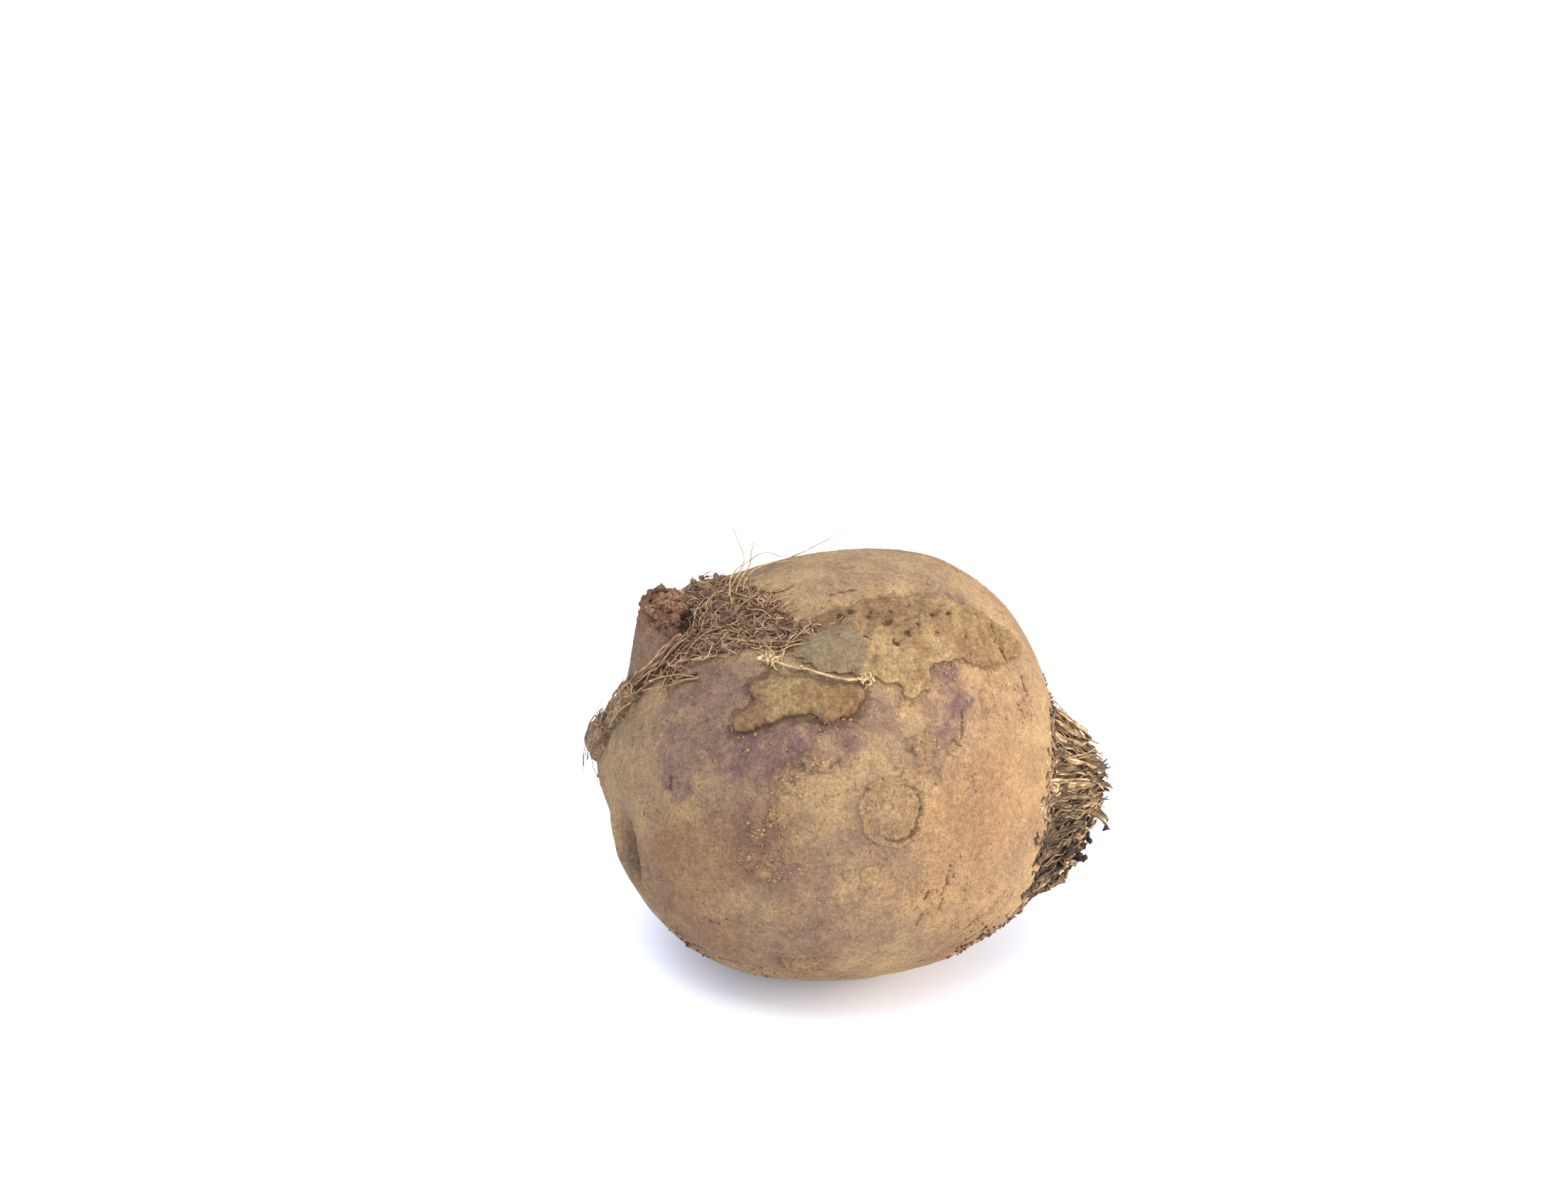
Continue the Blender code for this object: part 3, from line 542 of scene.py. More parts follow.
# %% The broken end, and soil and painted shade in the furrows
SNAP_POINT = Vector((-31.6, -0.2, 39.3))
SNAP_WAY = Vector((0.0, -math.sin(math.radians(35.0)), math.cos(math.radians(35.0))))
STUB_RADIUS = 4.6
TOP_FURROW = ((178, 53), (-170, 56), (-155, 60), (-138, 62.5))
SIDE_FURROW = ((-168, 40), (-176, 30), (176, 18), (168, 7))
FLAT_SPOT_HEIGHT = 0.25 * MM         # below this the skin is pressed flat on the floor
from_snap = skin_points / MM - np.array(MIDDLE / MM + SNAP_POINT)
below_snap = from_snap @ np.array(SNAP_WAY)
beside_snap = np.linalg.norm(from_snap - below_snap[:, None] * np.array(SNAP_WAY), axis=1)
near_stub = fall(beside_snap, STUB_RADIUS + 1.5, STUB_RADIUS + 3.0)
raw = fade(below_snap + 1.6 * medium + 0.8 * small, -4.0, -1.8) * near_stub
break_face = fade(below_snap + 0.8 * small, -1.8, -0.5) * near_stub
relief += break_face * (0.9 * bumps(skin_points, 1.7, 12, 3) + 0.6 * medium - 0.35)
relief += raw * (0.35 * bumps(skin_points, 1.3, 13, 3) - 1.3 * fade(beside_snap, 2.2, 4.2) * break_face)
on_neck = fade(np.linalg.norm(skin_points - np.array(MIDDLE), axis=1) / MM, 44.3, 46.3)
on_neck *= fall(distance_mm(skin_ways, (180.0, 46.0)), 9.0, 12.0)

# Soil and painted shade: in the furrows under the rootlets, round the crown's foot and in the fold
top_soil_and_shade, _ = line_distance_mm(skin_ways, TOP_FURROW)
side_soil_and_shade, _ = line_distance_mm(skin_ways, SIDE_FURROW)
top_soil_and_shade = fall(top_soil_and_shade + 1.5 * medium, 3.5, 7.0)
side_soil_and_shade = fall(side_soil_and_shade + 1.5 * medium, 1.5, 4.0)
soil_and_shade = 0.9 * np.maximum(top_soil_and_shade, side_soil_and_shade) * (1.0 - on_neck)
soil_and_shade = np.maximum(soil_and_shade, 0.9 * fall(from_crown, PEEL_EDGE_MM - 3.5, PEEL_EDGE_MM + 0.5))
# The fold's crease and its open side get the most painted shade
soil_and_shade = np.maximum(soil_and_shade, along_fold * bell(fold_distance, 1.1))
soil_and_shade = np.maximum(soil_and_shade, along_fold * fall(fold_distance, 0.6, 3.4) * (fold_side < 0))
soil_and_shade = np.maximum(soil_and_shade, 0.45 * along_fold * fall(fold_distance, 3.0, 7.0) * (fold_side < 0))

pressed = fall(skin_points[:, 2], FLAT_SPOT_HEIGHT, 2.0 * MM)
relief *= 1.0 - pressed
print("deep soil lies on", round(100 * float((soil_and_shade > 0.5).mean()), 1), "% of the points")

# %% [markdown]
# The relief moves each point along its normal. Everything that is laid on the root later finds its
# place with a ray, cast from the middle in that place's direction, which meets the finished skin
# where the thing sits. Two small functions turn a bmesh into a piece that rides on the root.


# %% The finished skin
def finished_piece(name, bm, material, replaced=None):
    """Turn a bmesh into a smooth-shaded piece that rides on the root."""
    mesh = bpy.data.meshes.new(name)
    bm.to_mesh(mesh)
    bm.free()
    mesh.materials.append(material)
    mesh.shade_smooth()
    return place_piece(name, mesh, replaced)


def place_piece(name, mesh, replaced):
    """Show a mesh as a piece of the object, standing for a solid where it replaces one."""
    piece = bpy.data.objects.new(name, mesh)
    bpy.context.scene.collection.objects.link(piece)
    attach(piece, "root")
    if replaced:
        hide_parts(replaced)
    mesh.calc_loop_triangles()
    print(name, "has", len(mesh.loop_triangles), "triangles")
    return piece


def keep_mask(mesh, name, values):
    """Store one number for each point, for a material to read."""
    mask = mesh.attributes.new(name, "FLOAT", "POINT")
    mask.data.foreach_set("value", values.astype(np.float32))


moved = skin_points + skin_normals * (relief * MM)[:, None]
for vert, place in zip(skin_bm.verts, moved):
    vert.co = place
skin_bm.normal_update()
skin_tree = BVHTree.FromBMesh(skin_bm)


def on_skin(direction, height=0.0):
    """The point of the finished skin in a direction, raised by a height in millimetres."""
    point, normal, _, _ = skin_tree.ray_cast(MIDDLE, direction)
    return point + normal * height * MM


print("skin at the ring's middle:", tuple(round(c / MM, 1) for c in on_skin(way(*RING))), "mm")

# %% [markdown]
# The materials are put together from a few patterns, each with its size in millimetres: soft
# clouds and grains of sand. They read the object's own coordinates, so they stay on the surface
# from every side.

# %% Patterns in millimetres
SAND_MM = 0.6                        # coarser than most real grains, which would be too fine to show
GRIT_MM = 0.5                        # the finest clouds, coarser than real dust for the same reason


def object_place(tree):
    """The coordinates of the object itself, which stay with the surface from every side."""
    return node(tree, "TexCoord").outputs["Object"]


def shifted(tree, place, seed):
    """The same coordinates moved far off, so that two patterns of one size don't match."""
    if not seed:
        return place
    return node(tree, "VectorMath", {0: place, 1: (0.31 * seed, 0.17 * seed, 0.23 * seed)},
                operation="ADD").outputs[0]


def cloud(tree, place, size_mm, detail=4.0, roughness=0.6, seed=0):
    """Soft random clouds from 0 to 1 of about that size."""
    sockets = {"Vector": shifted(tree, place, seed), "Scale": per_mm(size_mm), "Detail": detail,
               "Roughness": roughness}
    return node(tree, "TexNoise", sockets).outputs["Fac"]


def sand(tree, place, size_mm, share, seed):
    """Grains of sand of every size up to that one, pale ones and dark ones: two masks."""
    place = shifted(tree, place, seed)
    bent = node(tree, "TexNoise", {"Vector": place, "Scale": per_mm(size_mm * 0.7), "Detail": 1.0})
    shift = node(tree, "VectorMath", {0: bent.outputs["Color"], "Scale": 1.4 * size_mm * MM},
                 operation="SCALE")
    moved = node(tree, "VectorMath", {0: place, 1: shift.outputs[0]}, operation="ADD")
    cell = node(tree, "TexVoronoi", {"Vector": moved.outputs[0], "Scale": per_mm(size_mm)})
    pick = node(tree, "SeparateColor", {0: cell.outputs["Color"]}).outputs[0]
    masks = []
    for rarest, commonest in ((1.0, 1.0 - share), (0.0, share)):
        reach = between(tree, pick, commonest, rarest, 0.0, 0.42)
        depth = math_node(tree, "SUBTRACT", reach, cell.outputs["Distance"])
        masks.append(between(tree, depth, -0.02, 0.06))
    return masks


print("one grain of sand is drawn", SAND_MM, "mm wide")

# %% [markdown]
# A mask is read from the mesh, and noise tears its edge up, so that it can be sharper than the
# mesh. Colours are then laid over each other by masks, made darker or lighter by clouds, and grit
# and sand come last, because the finest grain lies on top of everything.

# %% Masks, layers of colour and bumps
def mask(tree, name):
    return node(tree, "Attribute", attribute_name=name).outputs["Fac"]


def torn(tree, soft, place, size_mm, edge):
    """A soft mask with its edge torn up by noise of that size, and made sharp."""
    around_zero = math_node(tree, "SUBTRACT", cloud(tree, place, size_mm), 0.5)
    tear = math_node(tree, "MULTIPLY", around_zero, 1.1)
    return between(tree, math_node(tree, "ADD", soft, tear), 0.5 - edge, 0.5 + edge)


def scaled(tree, value, factor):
    return math_node(tree, "MULTIPLY", value, factor)


def laid_over(tree, colour, share, strength, code):
    """A hex colour laid over another colour, as strongly as a share times a strength."""
    return mixed(tree, scaled(tree, share, strength), colour, code)


def shaded(tree, colour, value, low, high):
    """The colour made darker or lighter by a factor that follows a value."""
    factor = between(tree, value, 0.25, 0.75, low, high)
    tone = node(tree, "HueSaturation", {"Color": colour, "Value": factor})
    return tone.outputs[0]


def bumped(tree, shader, height, depth_mm, normal=None):
    """Give the shader a bump that stands so many millimetres high where the height is 1."""
    sockets = {"Height": height, "Distance": depth_mm * MM, "Strength": 1.0}
    if normal:
        sockets["Normal"] = normal
    bump = node(tree, "Bump", sockets)
    tree.links.new(bump.outputs[0], shader.inputs["Normal"])
    return bump.outputs[0]


def gritty(tree, place, colour, seed, contrast, share, pale, dark):
    """Grit and sand laid over a colour, each sand as strong and of the colour that it is given."""
    grit = cloud(tree, place, GRIT_MM, 3.0, 0.75, seed)
    colour = shaded(tree, colour, grit, 1.0 - contrast, 1.0 + contrast)
    pale_sand, dark_sand = sand(tree, place, SAND_MM, share, seed + 1)
    colour = laid_over(tree, colour, pale_sand, *pale)
    colour = laid_over(tree, colour, dark_sand, *dark)
    height = math_node(tree, "ADD", math_node(tree, "ADD", pale_sand, dark_sand), grit)
    return colour, height


print("helpers for materials:", [f.__name__ for f in (cloud, sand, mask, torn, shaded, gritty)])

# %% [markdown]
# Dried loam isn't one colour: it is paler where it lies as dust, warmer where it was wetter, and
# full of sand grains under a millimetre across. The material builds that up from the large scale to
# the small one. Clouds of two dust colours come first, then the masks, then the grains. The same
# torn masks feed the bump, so that a film of soil also stands up.

# %% Skin: dusty cork, matt
EARTH_ROUGHNESS = 0.92
EARTH_SPECULAR = 0.15
# Cork under a film of dust scatters all light: the eye sees no gleam, only tone and grain
skin_material, tree, shader = new_material("dusty cork skin", EARTH_ROUGHNESS, EARTH_SPECULAR)
place = object_place(tree)
colour = mixed(tree, between(tree, cloud(tree, place, 11.0), 0.32, 0.68), "8d7256", "a88960")
colour = laid_over(tree, colour, mask(tree, "warm"), 0.6, "a07a50")
colour = laid_over(tree, colour, mask(tree, "rosy"), 0.7, "7a523f")
patchy = between(tree, cloud(tree, place, 3.5, 4.0, 0.65, 1), 0.30, 0.62, 0.45, 1.0)
bareness = scaled(tree, mask(tree, "bare"), patchy)
colour = laid_over(tree, colour, bareness, 0.95, "6e534d")
deep = between(tree, cloud(tree, place, 2.0, 4.0, 0.7, 2), 0.55, 0.70)
colour = laid_over(tree, colour, scaled(tree, bareness, deep), 0.65, "604648")
film_torn = torn(tree, mask(tree, "film"), place, 1.0, 0.24)
colour = laid_over(tree, colour, film_torn, 0.5, "a08059")
stripped = torn(tree, scaled(tree, mask(tree, "peel"), 0.62), place, 0.8, 0.12)
colour = laid_over(tree, colour, stripped, 0.75, "6c4834")
colour = laid_over(tree, colour, mask(tree, "raw"), 0.9, "82593f")
red_fibre = between(tree, cloud(tree, place, 0.7, 4.0, 0.7, 3), 0.5, 0.66)
colour = mixed(tree, scaled(tree, mask(tree, "raw"), red_fibre), colour, "593b30")
colour = laid_over(tree, colour, mask(tree, "neck"), 0.55, "6b5445")
# Soil and painted shade in the furrows under the rootlets, round the crown's foot and in the fold
colour = mixed(tree, mask(tree, "soil_and_shade"), colour, "32251d")
# Crumbs and painted shade along the cakes' edges
crumbs_and_shade_torn = torn(tree, scaled(tree, mask(tree, "crumbs_and_shade"), 0.75), place, 0.9, 0.2)
colour = laid_over(tree, colour, crumbs_and_shade_torn, 0.6, "5c4531")
# Scars, and painted shade in the ring's groove
scar_and_ring_shade_torn = torn(tree, mask(tree, "scar_and_ring_shade"), place, 0.7, 0.16)
colour = laid_over(tree, colour, scar_and_ring_shade_torn, 0.62, "52352a")
colour = shaded(tree, colour, cloud(tree, place, 1.4, 4.0, 0.7, 4), 0.80, 1.20)
colour, fine = gritty(tree, place, colour, 5, 0.32, 0.15, (0.5, "bca685"), (0.5, "553d2e"))
tree.links.new(colour, shader.inputs["Base Color"])
low_bump = bumped(tree, shader, math_node(tree, "SUBTRACT", film_torn, scar_and_ring_shade_torn), 0.35)
mid_bump = bumped(tree, shader, cloud(tree, place, 1.5, 6.0, 0.72, 8), 0.75, low_bump)
bumped(tree, shader, fine, 0.18, mid_bump)
skin = finished_piece("skin", skin_bm, skin_material, "beet_root")
skin_masks = {"film": film_near, "bare": bare, "warm": warm, "soil_and_shade": soil_and_shade, "raw": raw,
              "peel": peel, "scar_and_ring_shade": scar_and_ring_shade, "rosy": rosy, "neck": on_neck}
for name, values in skin_masks.items():
    keep_mask(skin.data, name, values)
print("skin masks:", [a.name for a in skin.data.attributes if a.data_type == "FLOAT"])

# %% [markdown]
# ## Cakes of dried soil
# Soil that dried on the root holds on as crusts about a millimetre thick with broken, crumbly
# edges. Each starts as a fine grid, which is laid on the skin round the crust's middle like a
# cloth on a ball. What lies outside a ragged outline is deleted, and the open edge is extruded
# down into the skin. So the crust gets its steep broken edge from one operator, and its top is
# free for lumps, pits and cracks.

# %% The outlines of the two cakes
UPPER_MIDDLE = (-60.0, 57.0)
UPPER_EDGE = (
    (-114, 61), (-112, 66.5), (-104, 70), (-82, 71.5), (-62, 72), (-43, 69.5),
    (-27, 64), (-21, 59.5), (-20, 55), (-17.5, 50), (-16.5, 46), (-14, 40),
    (-15.5, 36), (-19.5, 35), (-25.5, 37.5), (-31, 38.5), (-37, 40.5), (-43, 43),
    (-45.5, 44.5), (-49.5, 46), (-55, 48), (-60, 47.5), (-62.5, 45), (-66, 43),
    (-71, 41.5), (-75, 41.5), (-74.5, 45), (-78, 47), (-83, 48.5), (-87.5, 49),
    (-92, 50), (-97, 50.5), (-103, 51.5), (-111.5, 53), (-118, 56.5),
)
UPPER_THICKNESS = 1.15
TONGUE_MIDDLE = (-110.0, 43.0)
TONGUE_EDGE = (
    (-130, 45.5), (-127, 48), (-123, 49.8), (-117, 49.6), (-111, 50), (-104, 48.6),
    (-97, 48), (-92, 47.3), (-88.8, 46.4), (-88.6, 44.8), (-89.5, 43.5), (-91.5, 41.5),
    (-94, 40), (-98, 38.8), (-102.5, 37.5), (-105, 38.8), (-107.3, 40.4), (-110.5, 39.6),
    (-114.4, 39), (-118, 37.6), (-121, 36.4), (-124.5, 34.8), (-128, 33.2), (-131.5, 34.3),
    (-131.2, 36.5), (-130, 38.5), (-127.5, 40.5), (-126.3, 42), (-128.5, 43.5),
)
TONGUE_THICKNESS = 1.5
print("outlines:", len(UPPER_EDGE), "and", len(TONGUE_EDGE), "places")

# %% [markdown]
# To cut an outline out of a grid, both are laid on a flat chart: a map of the skin round the
# cake's middle, in millimetres, like a small map of a piece of the Earth. Whether a point is inside
# is counted by the outline's edges that a line to the left of it crosses.

# %% A flat chart round a place
def frame_of(middle):
    """The direction of a place and two directions along the skin there, east and north."""
    axis = way(*middle)
    east = Vector((0.0, 0.0, 1.0)).cross(axis).normalized()
    return np.array(axis), np.array(east), np.array(axis.cross(east))


def on_chart(directions, middle):
    """Where directions lie on a flat chart round a middle, in millimetres."""
    axis, east, north = frame_of(middle)
    x, y = directions @ east, directions @ north
    angle = np.arctan2(np.hypot(x, y), directions @ axis)
    reach = angle * GLOBE_MM / np.maximum(np.hypot(x, y), 1e-9)
    return np.stack([x * reach, y * reach], axis=1)


def off_chart(points, middle):
    """The directions that points of a chart stand for."""
    axis, east, north = frame_of(middle)
    reach = np.maximum(np.hypot(points[:, 0], points[:, 1]), 1e-9)
    angle = reach / GLOBE_MM
    along = (points[:, :1] * east + points[:, 1:] * north) / reach[:, None]
    return np.cos(angle)[:, None] * axis + np.sin(angle)[:, None] * along


def outline_of(places, middle):
    """The corners of an outline on the chart round a middle."""
    return on_chart(np.array([way(*place) for place in places]), middle)


def depth_inside(points, outline):
    """How far inside an outline points of a chart lie, in millimetres, negative outside it."""
    nearest = np.full(len(points), 1e9)
    crossings = np.zeros(len(points), dtype=int)
    for start, end in zip(outline, np.roll(outline, -1, axis=0)):
        run = end - start
        share = np.clip((points - start) @ run / (run @ run), 0.0, 1.0)
        nearest = np.minimum(nearest, np.linalg.norm(points - start - share[:, None] * run, axis=1))
        if start[1] != end[1]:
            over = (points[:, 1] > min(start[1], end[1])) & (points[:, 1] <= max(start[1], end[1]))
            meets = start[0] + (points[:, 1] - start[1]) * run[0] / run[1]
            crossings += over & (points[:, 0] < meets)
    return np.where(crossings % 2 == 1, nearest, -nearest)


corners = outline_of(UPPER_EDGE, UPPER_MIDDLE)
print("the upper cake is", round(float(np.ptp(corners[:, 0])), 1), "mm wide")

# %% [markdown]
# A sheet is a grid on the chart. The points outside a ragged outline are deleted and the edge is
# smoothed a little. Each point that is left is then set on the skin at its own height, and the open
# edge is extruded down, so that no gap shows under it.

# %% Laying a sheet on the skin
def laid_sheet(middle, edge, spacing_mm, wobble_mm, seed):
    """A fine sheet, cut to a ragged outline: its bmesh, its directions and its depth inside."""
    outline = outline_of(edge, middle)
    low, high = outline.min(axis=0) - 2.0, outline.max(axis=0) + 2.0
    cells = np.ceil((high - low) / spacing_mm).astype(int)
    bm = bmesh.new()
    bmesh.ops.create_grid(bm, x_segments=int(cells[0]), y_segments=int(cells[1]), size=0.5)
    bmesh.ops.scale(bm, verts=bm.verts, vec=(*(high - low), 1.0))
    bmesh.ops.translate(bm, verts=bm.verts, vec=(*(high + low) / 2, 0.0))

    def measured():
        chart = np.array([v.co[:2] for v in bm.verts])
        places = off_chart(chart, middle)
        points = places * GLOBE_MM * MM
        ragged = bumps(points, 4.0, seed, 5) + 0.35 * bumps(points, 0.9, seed + 1, 3)
        return places, depth_inside(chart, outline) + wobble_mm * ragged

    inside = measured()[1]
    gone = [v for v, depth in zip(list(bm.verts), inside) if depth < 0.0]
    bmesh.ops.delete(bm, geom=gone, context="VERTS")
    stray = [v for v in bm.verts if len(v.link_faces) < 2]
    bmesh.ops.delete(bm, geom=stray, context="VERTS")
    for _ in range(3):
        rim = [v for v in bm.verts if v.is_boundary]
        bmesh.ops.smooth_vert(bm, verts=rim, factor=0.5, use_axis_x=True, use_axis_y=True)
    return (bm, *measured())


def mark(bm, name, values):
    """Write a mask on a sheet before its edge is extruded, so that the new edge takes it over."""
    layer = bm.verts.layers.float.new(name)
    for vert, value in zip(bm.verts, values):
        vert[layer] = value


def close_rim(bm, foot_mm):
    """Extrude a sheet's open edge down into the skin."""
    rim = [edge for edge in bm.edges if edge.is_boundary]
    for item in bmesh.ops.extrude_edge_only(bm, edges=rim)["geom"]:
        if isinstance(item, bmesh.types.BMVert):
            item.co = on_skin((item.co - MIDDLE).normalized(), -foot_mm)
    bmesh.ops.recalc_face_normals(bm, faces=bm.faces)


def raise_sheet(bm, directions, heights_mm, foot_mm):
    """Lay a sheet's points at their heights above the skin and close its edge."""
    for vert, direction, height in zip(bm.verts, directions, heights_mm):
        vert.co = on_skin(Vector(direction), height)
    close_rim(bm, foot_mm)


upper_bm, upper_ways, upper_inside = laid_sheet(UPPER_MIDDLE, UPPER_EDGE, 0.27, 1.0, 21)
tongue_bm, tongue_ways, tongue_inside = laid_sheet(TONGUE_MIDDLE, TONGUE_EDGE, 0.22, 0.8, 24)
print("crust points:", len(upper_ways), "and", len(tongue_ways))

# %% [markdown]
# The upper cake is a broad crust that thins out towards the top and to the right. It has a smooth
# grey patch where wet soil dried last, a rough pitted patch above it, and crumbs along its right
# end. As on the skin, these places are tables of directions.

# %% Places on the upper cake
GREY_EDGE = (
    (-106.5, 63.6), (-98, 64.8), (-91, 65.2), (-85, 63.5), (-82.8, 61), (-83, 57),
    (-85, 54), (-88, 50.8), (-95.6, 49.6), (-102, 50.8), (-108, 52), (-115, 54),
    (-119, 56.5), (-112, 60.5),
)
ROUGH_PLACES = (
    (-100, 68, 5, 1), (-85, 69, 6, 1), (-68, 68.5, 6, 1), (-52, 66, 5, 1),
    (-75, 64.5, 4, 0.8), (-38, 62.5, 4, 0.8), (-60, 62, 4, 0.6),
)
# Where the crust thins out to a film: longitude, latitude, radius and how much of it goes
THIN_PLACES = (
    (-100, 71, 5, 0.8), (-80, 72.5, 5.5, 0.8), (-62, 72, 5.5, 0.8), (-45, 69, 5, 0.7),
    (-30, 63.5, 5, 0.6), (-60, 56, 6, 0.3), (-40, 52, 5, 0.45), (-20, 43, 4, 0.4),
)
CRUST_PITS = (
    (-27, 67.5, 0.7), (-60, 58.6, 0.8), (-69.4, 57.2, 0.6), (-39.6, 58.9, 0.7), (-51.5, 59.5, 0.6),
    (-81.7, 60, 0.5), (-84.7, 68.9, 0.8), (-47, 55, 0.5), (-33, 56, 0.6), (-66, 63, 0.9),
    (-74, 67, 0.8), (-92, 67.5, 0.7), (-57, 66, 0.7), (-44, 64, 0.8), (-24, 50, 0.5),
)
CRUST_CRACKS = (
    (((-20.8, 45.4), (-26.6, 42.8), (-27.3, 38.3)), 0.45, 0.9),
    (((-32, 52), (-36, 49), (-35, 46.5)), 0.35, 0.6),
    (((-70, 55), (-66, 52), (-67, 48)), 0.25, 0.35),
    (((-80.5, 62), (-80, 56), (-84, 51.5)), 0.45, 0.35),
    (((-55, 62), (-47, 61), (-40, 62)), 0.3, 0.5),
)
CRUMB_PLACES = ((-23, 47, 6, 1), (-33, 47, 5, 0.8), (-20, 39, 4, 1))
print("upper cake:", len(CRUST_PITS), "pits and", len(CRUST_CRACKS), "cracks")

# %% [markdown]
# Its top is a height in millimetres above the skin for each point, built up from broad swellings
# to crumbs, and no lower than a thin film. Crumbs are rounded lumps with sharp creases between
# them, which is what the distance to the nearest of many random points gives.

# %% The top of the upper cake
PIT_DEPTH = 0.8


def sharp_lumps(points, size_mm, seed):
    """Rounded lumps with sharp creases between them, from 0 to 1, like dried crumbs."""
    shift = Vector((3.1, 9.2, 1.7)) * seed
    scale = 1.0 / (size_mm * MM)
    return np.array([1.0 - min(noise.voronoi(Vector(p) * scale + shift)[0][0], 1.0) for p in points])


upper_points = upper_ways * GLOBE_MM * MM
upper_chart = on_chart(upper_ways, UPPER_MIDDLE)
grey_inside = depth_inside(upper_chart, outline_of(GREY_EDGE, UPPER_MIDDLE))
grey = fade(grey_inside + 0.8 * bumps(upper_points, 3.0, 30), -0.4, 0.5)
rough = patches(upper_ways, ROUGH_PLACES, 2.0 * bumps(upper_points, 4.0, 31), 2.0) * (1.0 - grey)
crumbs = patches(upper_ways, CRUMB_PLACES, 2.0 * bumps(upper_points, 4.0, 32), 2.0)
thin = patches(upper_ways, THIN_PLACES, 2.5 * bumps(upper_points, 5.0, 33), 3.0)
lumps = sharp_lumps(upper_points, 1.5, 3)
heights = UPPER_THICKNESS * (0.55 + 0.45 * fade(upper_inside, 0.0, 2.5)) * (1.0 - thin)
heights += 0.42 * bumps(upper_points, 6.0, 34) * (1.0 - 0.7 * grey) - 0.2 * grey
heights += 0.38 * bumps(upper_points, 1.6, 35, 4) * (1.0 - 0.85 * grey)
heights += rough * (0.6 * bumps(upper_points, 2.2, 36, 4) - 0.15) + crumbs * (1.2 * lumps - 0.3)
pit = np.zeros(len(heights))
pit_wobble = 0.9 * bumps(upper_points, 1.1, 45)
for lon, lat, radius in CRUST_PITS:
    from_pit = np.maximum(distance_mm(upper_ways, (lon, lat)) + pit_wobble, 0.0)
    pit = np.maximum(pit, bell(from_pit, radius))
for stations, half_width, depth in CRUST_CRACKS:
    gap_distance, _ = line_distance_mm(upper_ways, stations)
    gap_distance = np.maximum(gap_distance + 0.4 * bumps(upper_points, 1.6, 37), 0.0)
    pit = np.maximum(pit, depth * bell(gap_distance, half_width))
heights = np.maximum(heights - PIT_DEPTH * pit, 0.12 + 0.08 * bumps(upper_points, 1.0, 38))
print("height of the upper cake:", round(float(heights.max()), 2), "mm")

# %% [markdown]
# The lower cake is a thick tongue with a lumpy front lip, warmer at the lip and at its right end.
# Both cakes get their masks while they are still flat grids, before they are laid on the skin, so
# that the extruded edge takes them over.

# %% The tongue, and both cakes laid on the skin
LIP_LINE = ((-131, 34.5), (-121, 37), (-108, 40), (-102.5, 38.2), (-93, 41.5),
            (-89.5, 45.0))
LIP_WIDTH = 2.4
FOOT_MM = 0.35                       # how deep the cakes' edges reach into the skin
tongue_points = tongue_ways * GLOBE_MM * MM
lip = bell(line_distance_mm(tongue_ways, LIP_LINE)[0], LIP_WIDTH)
tongue_heights = TONGUE_THICKNESS * (0.5 + 0.5 * fade(tongue_inside, 0.0, 1.6))
tongue_heights += 0.45 * bumps(tongue_points, 5.0, 40) + 0.4 * bumps(tongue_points, 1.6, 41, 4)
tongue_heights += lip * (1.1 * sharp_lumps(tongue_points, 1.7, 5) - 0.2)
tongue_heights = np.maximum(tongue_heights, 0.15)
tongue_warm = 0.25 + 0.3 * lip + 0.5 * bumps(tongue_points, 3.0, 43)
tongue_warm += 0.6 * fall(distance_mm(tongue_ways, (-97.0, 43.0)), 3.0, 8.0)
# Painted shade along the tongue's edge, which goes into its "rough" mask
edge_shade = fall(tongue_inside + 0.5 * bumps(tongue_points, 1.5, 44), 0.2, 1.3)
upper_masks = {"grey": grey, "rough": rough, "pit": pit, "warm": 0.6 * crumbs}
tongue_masks = {"warm": tongue_warm, "rough": edge_shade}
for sheet, masks in ((upper_bm, upper_masks), (tongue_bm, tongue_masks)):
    for name, values in masks.items():
        mark(sheet, name, np.clip(values, 0.0, 1.0))
raise_sheet(upper_bm, upper_ways, heights, FOOT_MM)
raise_sheet(tongue_bm, tongue_ways, tongue_heights, FOOT_MM)
print("height of the tongue:", round(float(tongue_heights.max()), 2), "mm")

# %% [markdown]
# Soil that broke off a cake's edge lies on the skin round it as a thin dark line, together with painted
# shade just under the cake's edge. It has no height worth a mesh, so it is one more mask on the skin,
# which the skin's material already reads.

# %% The line of crumbs and painted shade round each cake
def crumbs_and_shade_line(middle, edge, reach_mm):
    """How much broken-off soil and painted shade darken each point of the skin just outside an outline.
    """
    inside = depth_inside(on_chart(skin_ways, middle), outline_of(edge, middle))
    return fall(1.2 * small + 0.8 * medium - inside, 0.3, reach_mm)


crumbs_and_shade = np.maximum(crumbs_and_shade_line(TONGUE_MIDDLE, TONGUE_EDGE, 2.4),
                      0.7 * crumbs_and_shade_line(UPPER_MIDDLE, UPPER_EDGE, 1.8))
keep_mask(skin.data, "crumbs_and_shade", crumbs_and_shade)
print("skin under or beside soil:", round(100.0 * float((crumbs_and_shade > 0.5).mean()), 1), "%")

# %% [markdown]
# The cakes are the same loam as the dust on the skin, only thicker, so their material has the same
# clouds, grit and sand, with a deeper bump. The grey patch, the rough patch, the painted shade along
# the tongue's edge and the painted shade of the pits come from the masks that were written before.

